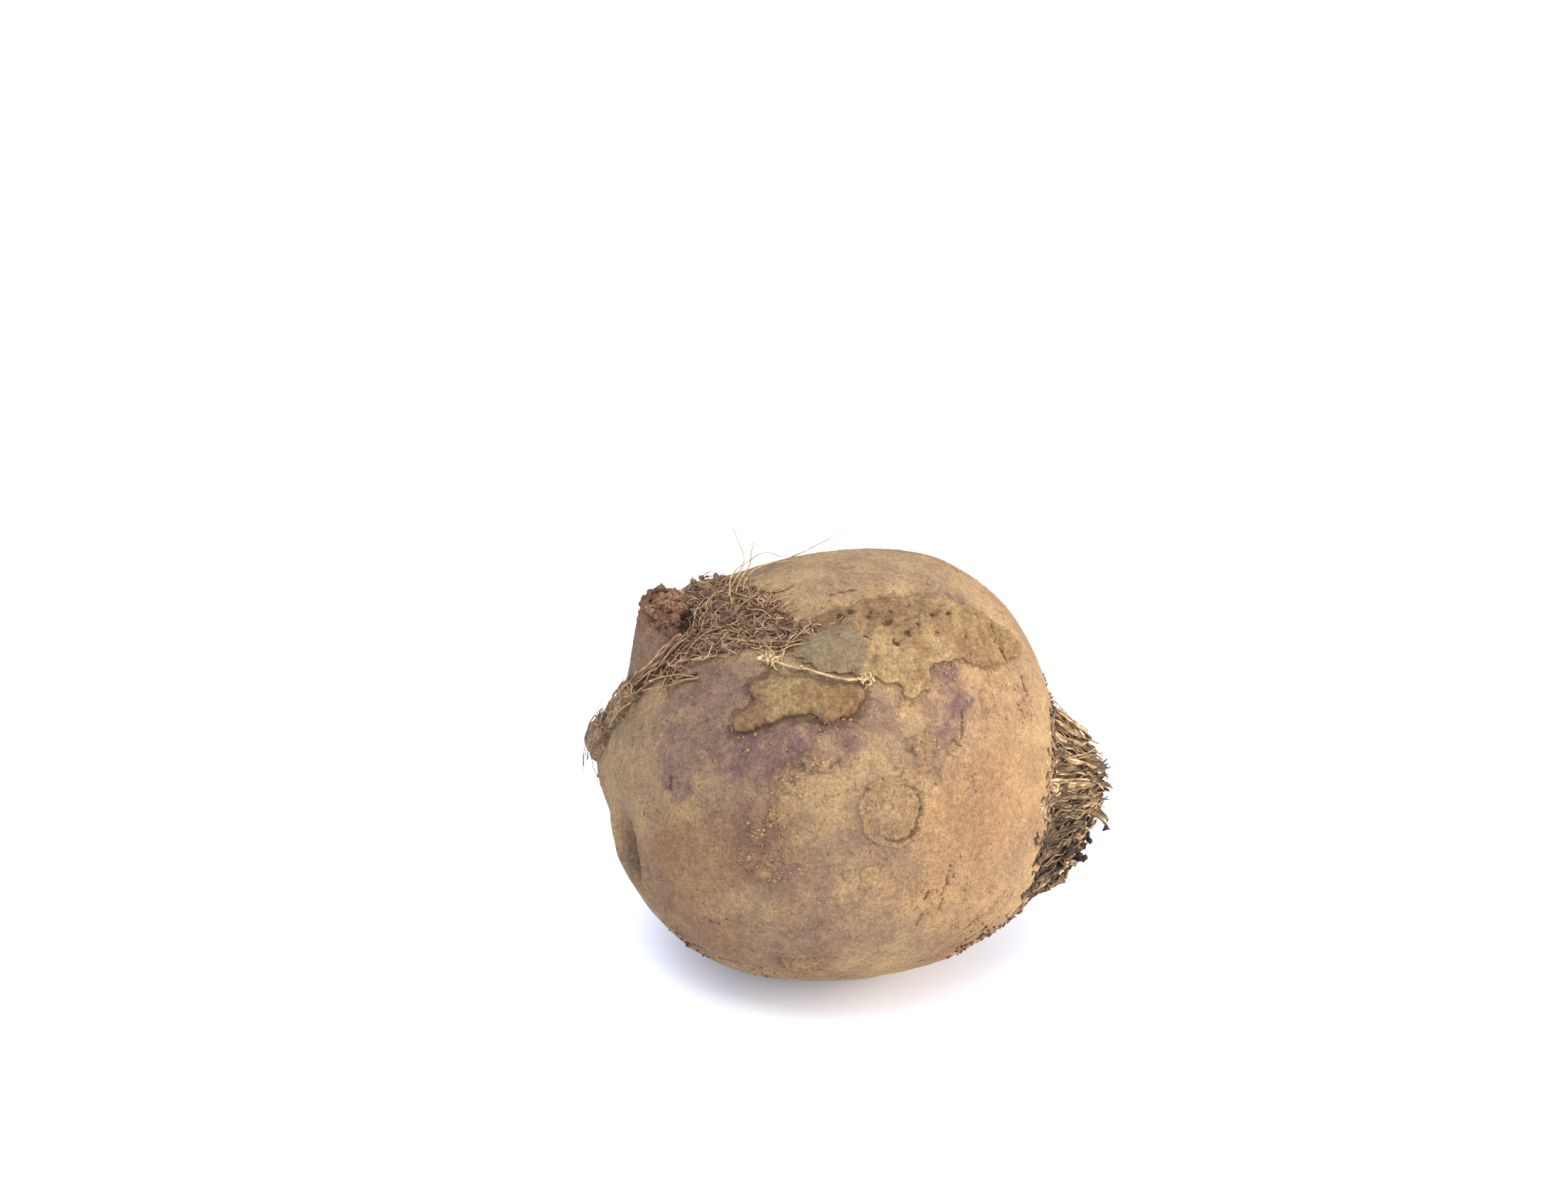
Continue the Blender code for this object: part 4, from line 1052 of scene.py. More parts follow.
# %% Soil: dried loam, crumbly
# Dried loam has no gleam at all: what the eye sees is its grain, and the painted shade of its pits and
# cracks
soil_material, tree, shader = new_material("dried loam", 0.95, 0.12)
place = object_place(tree)
colour = mixed(tree, between(tree, cloud(tree, place, 6.0), 0.35, 0.65), "9a7a56", "b79769")
colour = laid_over(tree, colour, mask(tree, "warm"), 0.7, "94704b")
colour = mixed(tree, mask(tree, "grey"), colour, "968062")
# The "rough" mask: a rough patch on the upper cake, and painted shade along the tongue's edge
colour = laid_over(tree, colour, mask(tree, "rough"), 0.42, "7a5a42")
colour = shaded(tree, colour, cloud(tree, place, 1.2, 4.0, 0.75, 1), 0.72, 1.26)
colour, fine = gritty(tree, place, colour, 2, 0.28, 0.18, (0.5, "bfa985"), (0.45, "5f4533"))
# Painted shade in the crust's pits and cracks
pit_shade = torn(tree, scaled(tree, mask(tree, "pit"), 0.9), place, 0.5, 0.1)
colour = laid_over(tree, colour, pit_shade, 0.8, "4c3626")
tree.links.new(colour, shader.inputs["Base Color"])
low_bump = bumped(tree, shader, cloud(tree, place, 1.3, 6.0, 0.78), 1.2)
bumped(tree, shader, fine, 0.15, low_bump)
upper_cake = finished_piece("upper_soil", upper_bm, soil_material, "upper_soil_cake")
finished_piece("lower_soil", tongue_bm, soil_material, "lower_soil_cake")
print("crust masks:", [a.name for a in upper_cake.data.attributes if a.data_type == "FLOAT"])

# %% [markdown]
# ## Dried rootlets
# Fine side roots dried to a tangle beside the tail, ran on round its neck in a band, and ended in
# a knot at its foot. Strands that follow a line on the skin are laid along it with a little play.
# Those of the tangle wander, with a random turn at each step. All draws are seeded, so that the
# tangle is the same in every run.

# %% The ways of strands over the skin
def smooth_line(stations, steps):
    """Points along a smooth line through places, as directions, with any further values."""
    knots = [(*way(*station[:2]), *station[2:]) for station in stations]
    knots = np.array([knots[0], *knots, knots[-1]])
    line = []
    for n in range(len(stations) - 1):
        a, b, c, d = knots[n:n + 4]
        for t in np.arange(steps) / steps:
            line.append(0.5 * (2 * b + (c - a) * t + (2 * a - 5 * b + 4 * c - d) * t ** 2
                               + (3 * b - a - 3 * c + d) * t ** 3))
    return np.array(line + [knots[-1]])


def laid_strand(rng, line, spread_mm, low_mm, high_mm):
    """Points of a strand that follows a line on the skin, a little beside it and above it."""
    sway, phase = rng.uniform(-1.0, 1.0) * spread_mm, rng.uniform(0.0, 6.3)
    pace, height = rng.uniform(0.5, 1.1), rng.uniform(low_mm, high_mm)
    points = []
    for n, station in enumerate(line):
        direction = Vector(station[:3]).normalized()
        ahead = Vector(line[min(n + 1, len(line) - 1)][:3]) - Vector(line[max(n - 1, 0)][:3])
        aside = direction.cross(ahead).normalized()
        play = sway + 0.22 * spread_mm * math.sin(phase + pace * n)
        lift = height + 0.35 * math.sin(1.7 * phase + 0.8 * pace * n)
        points.append(on_skin((direction + aside * play / GLOBE_MM).normalized(), max(lift, 0.1)))
    return points


def any_turn(rng):
    """A random angle of a full turn."""
    return rng.uniform(0.0, 2.0 * math.pi)


def wandering_strand(rng, start, length_mm, step_mm, curl, low_mm, high_mm):
    """Points of a strand that wanders over the skin with a random turn at each step."""
    direction = Vector(start).normalized()
    turn = any_turn(rng)
    east = Vector((0.0, 0.0, 1.0)).cross(direction).normalized()
    north = direction.cross(east)
    ahead = east * math.cos(turn) + north * math.sin(turn)
    swing, height, rising = rng.gauss(0.0, curl), rng.uniform(low_mm, high_mm), rng.gauss(0.0, 0.3)
    points = []
    for _ in range(max(4, round(length_mm / step_mm))):
        points.append(on_skin(direction, height))
        swing = 0.75 * swing + rng.gauss(0.0, curl)
        ahead = (ahead + direction.cross(ahead) * swing).normalized()
        direction = (direction + ahead * step_mm / GLOBE_MM).normalized()
        ahead = (ahead - direction * ahead.dot(direction)).normalized()
        rising = 0.7 * rising + rng.gauss(0.0, 0.22)
        height = min(max(height + rising * step_mm, 0.1), high_mm)
    return points


print("a line through 3 places has", len(smooth_line([(9.0 * n, 0.0) for n in range(3)], 5)), "points")

# %% [markdown]
# Each rootlet is one spline of a bevelled curve. A curve with a bevel is Blender's own way to make
# thread, and it keeps every strand's taper. When all strands of a piece are there, the curve is
# turned into a mesh. Four sides are enough for a thread that is a pixel or two wide.

# %% Strands as curves
def add_strand(curve, points, radius_mm, end_share, finish=0):
    """Add one strand to a curve, which thins out to a share of its radius."""
    spline = curve.splines.new("NURBS")
    spline.points.add(len(points) - 1)
    for n, (knot, point) in enumerate(zip(spline.points, points)):
        knot.co = (*point, 1.0)
        knot.radius = radius_mm * (1.0 + (end_share - 1.0) * n / (len(points) - 1))
    spline.order_u = 3
    spline.use_endpoint_u = True
    spline.material_index = finish
    return spline


def strand_curve(name, materials):
    """A curve whose strands are round threads of the radius that they give, in millimetres."""
    curve = bpy.data.curves.new(name, "CURVE")
    curve.dimensions = "3D"
    curve.bevel_depth = MM
    curve.bevel_resolution = 0
    curve.resolution_u = 2
    curve.render_resolution_u = 2
    curve.use_fill_caps = True
    for material in materials:
        curve.materials.append(material)
    return curve


def curve_piece(curve, replaced=None):
    """Turn a curve of strands into a mesh piece that rides on the root."""
    mesh = shown_mesh(bpy.data.objects.new("rough", curve))
    mesh.name = curve.name
    mesh.shade_smooth()
    return place_piece(curve.name, mesh, replaced)


print("radius 1 on a strand stands for", MM, "m")

# %% [markdown]
# Dried roots, leaves and caked soil all have two tones in soft streaks and a fine wrinkled bump, so
# one function makes their materials. Colours, streak size and depth of the bump tell them apart.

# %% Dried fibre: matt, streaky
FIBRE_ROUGHNESS = 0.85               # a faint sheen is left where a strand is smooth
FIBRE_SPECULAR = 0.25
WRINKLE_MM = 0.35


def dried_finish(name, dark, light, streak_mm, bump_mm):
    """Material of dried fibre: two tones in short streaks and a fine wrinkled bump."""
    material, tree, shader = new_material(name, FIBRE_ROUGHNESS, FIBRE_SPECULAR)
    place = object_place(tree)
    colour = mixed(tree, between(tree, cloud(tree, place, streak_mm), 0.36, 0.64), dark, light)
    colour = shaded(tree, colour, cloud(tree, place, 0.45, 3.0), 0.8, 1.2)
    tree.links.new(colour, shader.inputs["Base Color"])
    bumped(tree, shader, cloud(tree, place, WRINKLE_MM, 3.0), bump_mm)
    return material


# Rootlets dry to three tones, which the eye reads as depth in the tangle
pale_fibre = dried_finish("dried rootlet, pale", "a08259", "c8a67c", 2.5, 0.06)
tan_fibre = dried_finish("dried rootlet, tan", "80604a", "a9845f", 2.5, 0.06)
dark_fibre = dried_finish("dried rootlet, dark", "4c3626", "6e4f38", 2.5, 0.06)
rootlet_finishes = (tan_fibre, pale_fibre, dark_fibre)
print("rootlet finishes:", [m.name for m in rootlet_finishes])

# %% [markdown]
# The felt under the tangle is a sheet like the soil crusts, dark and broken; its dark tone is partly
# painted shade under the strands.

# %% Felt under the tangle
FELT_MIDDLE = (-155.0, 62.0)
FELT_EDGE = (
    (168, 53.5), (157, 57.5), (155, 61.5), (172.5, 68.6), (-159.8, 72.5), (-140, 72),
    (-128, 69), (-117, 67.5), (-107, 66.5), (-105, 63.5), (-110, 61), (-118.4, 59),
    (-124.1, 55), (-134.9, 55), (-142.1, 52.5), (-147, 50.5), (-156.6, 48.5), (-158, 43),
    (-162, 38), (-165.5, 39), (-166.5, 45), (-172, 51.5), (-178, 53.5), (176, 53.5),
)
felt_bm, felt_ways, felt_inside = laid_sheet(FELT_MIDDLE, FELT_EDGE, 0.36, 1.5, 52)
felt_points = felt_ways * GLOBE_MM * MM
felt_heights = 0.25 + 0.35 * fade(felt_inside, 0.0, 3.0) + 0.6 * bumps(felt_points, 1.8, 53, 4)
felt_heights += 0.7 * sharp_lumps(felt_points, 1.4, 11) - 0.35
raise_sheet(felt_bm, felt_ways, np.maximum(felt_heights, 0.03), 0.4)
# Soil and fibre matted together: dull, and dark partly as painted shade, so the gaps between the
# strands look deeper than its own relief
felt_and_shade_finish = dried_finish("matted soil and fibre", "463529", "98775a", 1.0, 0.35)
finished_piece("rootlet_felt", felt_bm, felt_and_shade_finish, None)

# %% [markdown]
# The strands lie on the felt in two families: stout ones that sweep from the top down round the
# neck, and a crowd of fine ones that cross them at every angle. A few more hang over the felt's
# front edge, so that it doesn't end in a line.

# %% The tangle beside the tail
# Lines that stout strands follow, how many follow each, and how far beside it they lie
SWEEPS = (
    (((-152, 60), (-163, 57), (-173, 52), (-169, 46), (-168.3, 40.3), (-170.4, 36),
      (-175, 30), (178, 23), (172.6, 15), (168, 7)), 10, 0.9),
    (((170, 62.5), (179, 58.5), (-174, 53.5), (-166.5, 48), (-165.5, 42.6), (-166.2, 38.3),
      (-170, 33), (-176, 27)), 8, 1.2),
    (((-136, 70), (-149, 66), (-159, 60), (-163, 53), (-161, 46), (-162, 40)),
     7, 1.6),
    (((-120, 62.6), (-132, 59.6), (-151.8, 60.4), (-169.4, 60.5), (178, 57.5)), 6, 1.8),
    (((-107, 63.5), (-115, 60), (-124, 57), (-137, 56), (-150, 54), (-162, 51)),
     5, 1.0),
    (((-148.4, 43.8), (-154.2, 41.5), (-158.8, 38.5), (-163.6, 36.5)), 4, 0.8),
    (((-126, 67.5), (-140, 68.5), (-158, 68), (-174, 65), (174, 61)), 5, 1.6),
    (((-145, 51), (-152, 49), (-158, 46), (-163, 42)), 4, 1),
)
FINE_STRANDS = 420
EDGE_STRANDS = 40

rng = random.Random(51)
tangle = strand_curve("rootlet_tangle", rootlet_finishes)
for stations, count, spread in SWEEPS:
    line = smooth_line(stations, 5)
    for _ in range(count):
        first = rng.randrange(0, max(1, len(line) // 3))
        last = rng.randrange(min(len(line) - 1, first + len(line) // 2), len(line)) + 1
        strand = laid_strand(rng, line[first:last], spread, 0.2, 1.3)
        radius, end_share = rng.uniform(0.13, 0.32), rng.uniform(0.3, 0.7)
        add_strand(tangle, strand, radius, end_share, rng.choice((0, 0, 1, 2)))
for _ in range(FINE_STRANDS):
    start = felt_ways[rng.randrange(len(felt_ways))]
    strand = wandering_strand(rng, start, rng.uniform(2.5, 8.0), 0.6, 0.3, 0.2, 1.5)
    add_strand(tangle, strand, rng.uniform(0.06, 0.15), 0.6, rng.choice((0, 0, 0, 1, 1, 2)))
front_edge = felt_ways[(felt_inside < 1.0) & (felt_ways[:, 1] < -0.12)]
for _ in range(EDGE_STRANDS):
    start = front_edge[rng.randrange(len(front_edge))]
    strand = wandering_strand(rng, start, rng.uniform(3.0, 7.0), 0.7, 0.2, 0.1, 0.7)
    add_strand(tangle, strand, rng.uniform(0.09, 0.18), 0.5, rng.choice((0, 1, 2)))
curve_piece(tangle, "top_rootlet_mat")

# %% [markdown]
# Crumbs of soil are caught between the strands. A crumb is a small icosphere, pushed out of round
# by noise. Hundreds of them would be slow to build in one growing bmesh, so each is made in a small
# one of its own and copied over.

# %% Crumbs in the tangle
FELT_CRUMBS = 320


def add_all(bm, small):
    """Move all of a small bmesh into a large one, which is far faster than to build it there."""
    carrier = bpy.data.meshes.new("carrier")
    small.to_mesh(carrier)
    small.free()
    bm.from_mesh(carrier)
    bpy.data.meshes.remove(carrier)


def add_crumb(bm, rng, point, radius_mm, splits=1):
    """Add one crumb of soil: a small icosphere pushed out of round by noise."""
    crumb = bmesh.new()
    made = bmesh.ops.create_icosphere(crumb, subdivisions=splits, radius=radius_mm * MM)["verts"]
    shift = Vector((rng.uniform(0.0, 99.0), rng.uniform(0.0, 99.0), rng.uniform(0.0, 99.0)))
    stretch = Vector((rng.uniform(0.6, 1.5), rng.uniform(0.6, 1.5), rng.uniform(0.6, 1.2)))
    for vert in made:
        lump = 1.0 + 0.9 * noise.noise(shift + vert.co.normalized() * 1.7)
        vert.co = point + vert.co * stretch * lump
    add_all(bm, crumb)


felt_crumbs_bm = bmesh.new()
for _ in range(FELT_CRUMBS):
    direction = Vector(felt_ways[rng.randrange(len(felt_ways))])
    size = rng.uniform(0.18, 0.55)
    add_crumb(felt_crumbs_bm, rng, on_skin(direction, rng.uniform(0.3, 1.2)), size)
# Soil that is shaded by the strands over it looks darker than the cakes
felt_crumb_finish = dried_finish("soil caught in rootlets", "5d4632", "86694a", 1.5, 0.2)
finished_piece("crumbs_in_rootlets", felt_crumbs_bm, felt_crumb_finish, None)

# %% [markdown]
# The tail's stub ends in a ragged break. Its bundle of fibres stands up out of the break at
# uneven heights, so short stiff strands are set all over the end, each along the stub's own way.
# Between them the flesh dried to lumps, which round the end off.

# %% Torn fibres on the broken end
STUB_FIBRES = 110
STUB_LUMPS = 46
snap_place = MIDDLE + SNAP_POINT * MM
across_stub = SNAP_WAY.cross(Vector((1.0, 0.0, 0.0))).normalized()
beside_stub = SNAP_WAY.cross(across_stub)


def stub_spot(rng, area_share):
    """A random spot on the stub's end: the way out to it, and how far out it lies."""
    turn, out = any_turn(rng), STUB_RADIUS * math.sqrt(rng.uniform(0.0, area_share))
    return across_stub * math.cos(turn) + beside_stub * math.sin(turn), out


# The flesh under the skin dried reddish brown, which sets the break off from the dust
red_fibres = dried_finish("torn root fibre, reddish", "60432f", "926c50", 1.0, 0.3)
stub_fibres = strand_curve("stub_fibres", (red_fibres, tan_fibre))
for n in range(STUB_FIBRES):
    aside, out = stub_spot(rng, 0.86)
    top = rng.uniform(-0.8, 0.9) - 0.12 * out
    heading = SNAP_WAY + aside * rng.uniform(-0.35, 0.3) + across_stub * rng.uniform(-0.4, 0.4)
    heading.normalize()
    base = snap_place + (aside * out + SNAP_WAY * -3.5) * MM
    swing = heading.cross(aside).normalized() * rng.uniform(-0.4, 0.4) * MM
    end = base + heading * (3.5 + top) * MM
    points = [base, base.lerp(end, 0.35) + swing, base.lerp(end, 0.7) - swing * 0.4, end]
    add_strand(stub_fibres, points, rng.uniform(0.1, 0.26), 0.15, n % 2)
curve_piece(stub_fibres, None)

lumps_bm = bmesh.new()
for _ in range(STUB_LUMPS):
    aside, out = stub_spot(rng, 0.62)
    sunk = -0.5 - 0.11 * out ** 1.8 + rng.uniform(-0.5, 0.4)
    point = snap_place + (aside * out + SNAP_WAY * sunk) * MM
    add_crumb(lumps_bm, rng, point, rng.uniform(0.6, 1.3), 3)
finished_piece("stub_lumps", lumps_bm, red_fibres, None)

# %% [markdown]
# The band goes on down beside the neck and ends in a lumpy knot of soil and fibre, which stands
# out past the root's own outline on the tail's side.

# %% The band and the knot at the neck's foot
KNOT_MIDDLE = (176.0, 17.0)
KNOT_EDGE = (
    (-171, 33), (180, 29.5), (171, 19), (162, 8.5), (163, 2), (169, 0.5),
    (175, 6), (-178, 17), (-171, 27), (-168, 31),
)
KNOT_LINES = (
    ((-169, 38), (-172, 31), (-178, 25), (175, 17), (168, 8)),
    ((-168, 34), (-174, 26), (179, 18), (171, 9), (166, 4)),
    ((-172, 37), (-177, 30), (176, 22), (169, 13), (164, 6)),
)
KNOT_STRANDS = 26
KNOT_FINE_STRANDS = 50
knot_bm, knot_ways, knot_inside = laid_sheet(KNOT_MIDDLE, KNOT_EDGE, 0.28, 1.2, 55)
knot_points = knot_ways * GLOBE_MM * MM
knot_heights = 0.3 + 1.0 * fade(knot_inside, 0.0, 2.0) + 0.45 * bumps(knot_points, 2.0, 56, 4)
knot_heights += 2.0 * sharp_lumps(knot_points, 3.4, 7) - 0.8 + 0.5 * sharp_lumps(knot_points, 1.2, 8)
knot_heights += 0.8 * fall(distance_mm(knot_ways, (169.0, 9.0)), 1.0, 6.0)
raise_sheet(knot_bm, knot_ways, np.clip(knot_heights, 0.05, 2.9), 0.4)
knot_finish = dried_finish("soil caught in rootlets", "66503a", "a07f5b", 1.8, 0.35)
finished_piece("knot_soil", knot_bm, knot_finish, None)

knot = strand_curve("rootlet_knot", rootlet_finishes)
for n in range(KNOT_STRANDS):
    line = smooth_line(KNOT_LINES[n % 3], 5)
    first = rng.randrange(0, 9)
    last = min(len(line), first + rng.randrange(7, 16))
    strand = laid_strand(rng, line[first:last], 1.7, 0.7, 1.7)
    add_strand(knot, strand, rng.uniform(0.12, 0.28), 0.3, rng.choice((0, 0, 1)))
for _ in range(KNOT_FINE_STRANDS):
    start = knot_ways[rng.randrange(len(knot_ways))]
    strand = wandering_strand(rng, start, rng.uniform(2.5, 6.5), 0.6, 0.35, 0.8, 2.9)
    add_strand(knot, strand, rng.uniform(0.09, 0.2), 0.6, rng.choice((0, 0, 1, 2)))
curve_piece(knot, "side_rootlet_mat")

# %% [markdown]
# Crumbs of soil are stuck all over the root, thickest near the fold, under the two cakes and on
# the front. They are what makes a dusty root look gritty against the light.

# %% Crumbs on the skin
# Places with many crumbs: longitude, latitude, spread in millimetres, how many
CRUMB_SPOTS = (
    (-115, 15, 3.2, 26), (-118, 10, 3, 18), (-121, 3, 4, 26), (-113, 2, 4, 20),
    (-74, 29, 3, 26), (-111.5, 24.5, 3, 22), (-104, 29, 2.6, 16), (-84.6, 16.3, 5, 22),
    (-70, -5, 5, 24), (-76, -9, 4, 14), (-58, -24, 5, 22), (-48, -32, 5, 30),
    (-150, -34, 5, 22), (-128, -42, 7, 26), (-31, 26, 3, 16), (-22, 40, 4, 30),
    (-24, 48, 4, 20), (-100, 37.5, 4, 20), (-128, 33.5, 3, 12), (-160, -12, 3, 16),
    (-52, 45, 4, 16), (-108, -33, 4, 18), (-168, 30, 4, 24), (-152, 45, 4, 20),
)
STRAY_CRUMBS = 900
# Places with dark flakes of dead root, as above
DARK_SPOTS = ((-48, -33, 4, 26), (-55, -38, 4, 14), (-150, -38, 3, 12),
              (-36, -26, 3, 16))


def strewn(rng, direction, share, spread_mm):
    """A random direction near another one, within about a share of the spread."""
    loose = Vector([rng.gauss(0.0, share) * spread_mm / GLOBE_MM for _ in range(3)])
    return (direction + loose).normalized()


# Crumbs carry the same dust as the skin, so they show by their shade rather than by colour
crumb_finish = dried_finish("dusty crumb", "87694d", "a4845f", 2.0, 0.2)
crumbs_bm = bmesh.new()
for lon, lat, spread, count in CRUMB_SPOTS:
    for _ in range(count):
        direction = strewn(rng, way(lon, lat), 0.6, spread)
        size = 0.1 + 0.28 * rng.random() ** 2
        add_crumb(crumbs_bm, rng, on_skin(direction, 0.2 * size), size, 2)
for _ in range(STRAY_CRUMBS):
    direction = Vector([rng.gauss(0.0, 1.0) for _ in range(3)]).normalized()
    size = 0.07 + 0.2 * rng.random() ** 3
    point = on_skin(direction, 0.3 * size)
    if point.z > 1.5 * MM:
        add_crumb(crumbs_bm, rng, point, size)
finished_piece("skin_crumbs", crumbs_bm, crumb_finish, None)

flakes_bm = bmesh.new()
for lon, lat, spread, count in DARK_SPOTS:
    for _ in range(count):
        direction = strewn(rng, way(lon, lat), 0.6, spread)
        add_crumb(flakes_bm, rng, on_skin(direction, 0.1), rng.uniform(0.12, 0.34), 2)
finished_piece("dark_flakes", flakes_bm, dark_fibre, None)

# %% [markdown]
# A few long hairs stand clear of the tangle. They are what shows against the background, so each one is
# given one by one, as a line of places with a height above the skin.

# %% Loose hairs
STOUT_HAIRS = 4                      # the first ones of the table are thicker and pale
HAIRS = (
    ((-176, 64, 1), (166, 68, 1.6), (157, 69, 2.6), (150.5, 68.8, 4.4), (149.5, 68, 6.4),
     (147, 66.6, 9.4)),
    ((-174, 66, 1), (168, 69, 1.4), (152.7, 70.1, 1.8), (148.6, 70.9, 3.8), (143.9, 71.8, 6)),
    ((-170, 64, 1), (172, 66, 1.8), (160, 67.7, 2.4), (149.8, 69.8, 2.6), (141.1, 72, 3.2),
     (130.7, 73.3, 2.6), (120.2, 73.3, 1.2), (109.3, 73.6, 1.8)),
    ((108, 69.7, 0), (91.5, 65.7, 0.5), (76.3, 63.6, 2.2), (61.6, 60.5, 4.6)),
    ((178, 67, 0.8), (165, 69, 1), (152, 72, 0.8), (138, 74.5, 0.6), (120, 76, 0.4)),
    ((-174, 68, 0.8), (172, 70, 1.2), (158, 72.5, 1.4), (140, 74.5, 1), (122, 77.5, 0.4)),
    ((160, 66, 0.6), (156, 67.5, 1.6), (155, 68.5, 3)),
    ((-166, 36, 1.2), (-162, 39, 1.2), (-157, 41.5, 0.9), (-151, 43, 0.6)),
    ((-167, 33, 1.2), (-163, 35.5, 1), (-158, 38, 0.5), (-154, 41, 0.5)),
    ((170, 14, 1.6), (164, 11, 2), (158, 10, 2.4), (154, 6, 2.2)),
    ((172, 8, 1.6), (166, 3, 1.8), (162, -3, 2.2), (161, -8, 1.6)),
)
hairs = strand_curve("loose_hairs", rootlet_finishes)
for n, stations in enumerate(HAIRS):
    line = smooth_line(stations, 4)
    points = [on_skin(Vector(s[:3]).normalized(), s[3]) for s in line]
    stout = n < STOUT_HAIRS
    add_strand(hairs, points, 0.21 if stout else 0.16, 0.45, 1 if stout else n % 2)
curve_piece(hairs, None)

# %% [markdown]
# One thicker rootlet dried pale and lies across the front, between the two cakes of soil. Its
# ends are frayed, and knobs stand on it where side roots broke off.

# %% The pale rootlet
PALE_LINE = (
    (-127.5, 52.8, 0.8), (-123.4, 52.7, 1.1), (-117.8, 52.1, 0.9), (-110.1, 51.7, 0.8),
    (-105.2, 50.6, 1.2), (-98.2, 49.3, 1.3), (-93.6, 48.7, 1.3), (-88.9, 48.6, 1.3),
    (-86.2, 48.6, 1),
)
# Knobs on it: how far along it they sit, how many lumps each has, and how wide it is
PALE_KNOBS = ((0.04, 12, 1.15), (0.1, 8, 0.8), (0.88, 7, 0.7), (0.96, 12, 1.2), (0.36, 3, 0.4))
FRAYS = 30                           # short threads at its two ends
# It was rubbed clean of dust, so it is the palest thing on the root
cream_fibre = dried_finish("dried rootlet, cream", "a88d62", "cdb78c", 0.8, 0.12)
pale_line = smooth_line(PALE_LINE, 5)
pale = strand_curve("pale_rootlet_strands", (cream_fibre, pale_fibre))
for aside, radius, finish in ((0.0, 0.22, 1), (0.35, 0.14, 0), (-0.3, 0.12, 1)):
    points = []
    for n, station in enumerate(pale_line):
        direction = Vector(station[:3]).normalized()
        beside = Vector((0.0, 0.0, aside * math.sin(0.35 * n + aside)))
        points.append(on_skin((direction + beside / GLOBE_MM).normalized(), station[3]))
    strand = add_strand(pale, points, radius, 0.9, finish)
    for n, knot_point in enumerate(strand.points):
        knot_point.radius *= 1.0 + 0.25 * math.sin(2.3 * n + 5.0 * aside)
for n in range(FRAYS):
    near = 0 if n % 2 else len(pale_line) - 6
    start = pale_line[min(near + rng.randrange(0, 6), len(pale_line) - 1)][:3]
    strand = wandering_strand(rng, start, rng.uniform(1.0, 2.6), 0.4, 0.4, 0.4, 1.7)
    add_strand(pale, strand, rng.uniform(0.12, 0.26), 0.6, n % 3 == 0)
curve_piece(pale, "pale_rootlet")

knobs_bm = bmesh.new()
for share, count, wide in PALE_KNOBS:
    station = pale_line[round(share * (len(pale_line) - 1))]
    direction = Vector(station[:3]).normalized()
    for _ in range(count):
        point = on_skin(strewn(rng, direction, 0.5, wide), rng.uniform(0.4, 1.5))
        add_crumb(knobs_bm, rng, point, rng.uniform(0.22, 0.5) * math.sqrt(wide))
finished_piece("pale_rootlet_knobs", knobs_bm, cream_fibre, None)

# %% [markdown]
# ## The crown
# The leaves were twisted off, and their bases dried to a cone of torn, fibrous strips that lean in
# towards its tip. Under them lies a dark core, which shows only in the gaps, and whose near-black
# colour is partly painted shade there. It is one more laid sheet, raised to a low cone. Its brim is
# drawn as a ring of places round the crown's axis, wider below and above than at the sides.

# %% Core of the crown
CROWN_MOUND = 7.5
CROWN_MOUND_EDGE = 25.5              # degrees from the crown's axis
CROWN_TIP = MIDDLE + way(-4.0, -11.0) * 61.5 * MM
CROWN_REACH = 60.3                   # nothing stands further out along x, in millimetres
BRIM_PLACES = 40
crown_axis, crown_east, crown_north = [Vector(v) for v in frame_of(CROWN_AXIS)]


def crown_spoke(turn):
    """The direction straight out from the crown's axis, at a turn round it."""
    return crown_east * math.cos(turn) + crown_north * math.sin(turn)


def crown_way(turn, off):
    """The direction that lies some degrees off the crown's axis, at a turn round it."""
    angle = math.radians(off)
    return crown_axis * math.cos(angle) + crown_spoke(turn) * math.sin(angle)


def mound_share(degrees_off):
    """How much of the mound's height is left some degrees off the crown's axis, from 1 to 0."""
    return max(0.0, 1.0 - (degrees_off / CROWN_MOUND_EDGE) ** 1.1)


brim = []
rng = random.Random(61)
for n in range(BRIM_PLACES):
    turn = 2.0 * math.pi * n / BRIM_PLACES
    lower = max(0.0, -math.sin(turn)) ** 2 + 0.8 * max(0.0, math.sin(turn)) ** 6
    edge_way = crown_way(turn, 27.0 + 5.0 * lower + rng.uniform(-1.3, 1.3))
    longitude = math.degrees(math.atan2(edge_way.y, edge_way.x))
    brim.append((longitude, math.degrees(math.asin(edge_way.z))))
core_bm, core_ways, core_inside = laid_sheet(CROWN_AXIS, brim, 0.45, 1.2, 62)
core_points = core_ways * GLOBE_MM * MM
core_lumps = 0.4 * bumps(core_points, 3.0, 63, 4) + 0.5 * sharp_lumps(core_points, 2.5, 9)
for vert, direction, depth, lump in zip(core_bm.verts, core_ways, core_inside, core_lumps):
    direction = Vector(direction)
    mound = mound_share(math.degrees(crown_axis.angle(direction)))
    spot = on_skin(direction, 0.15 + 0.45 * min(depth, 1.0) + lump)
    vert.co = spot + crown_axis * CROWN_MOUND * mound * MM
close_rim(core_bm, 0.4)
# Old leaf and soil rotted to a dark crust; its near-black colour is also painted shade, which makes the
# gaps between the strips look deep
core_crust_and_shade_finish = dried_finish("crown crust", "2f221a", "5e4634", 2.2, 0.3)
finished_piece("crown_core", core_bm, core_crust_and_shade_finish, None)

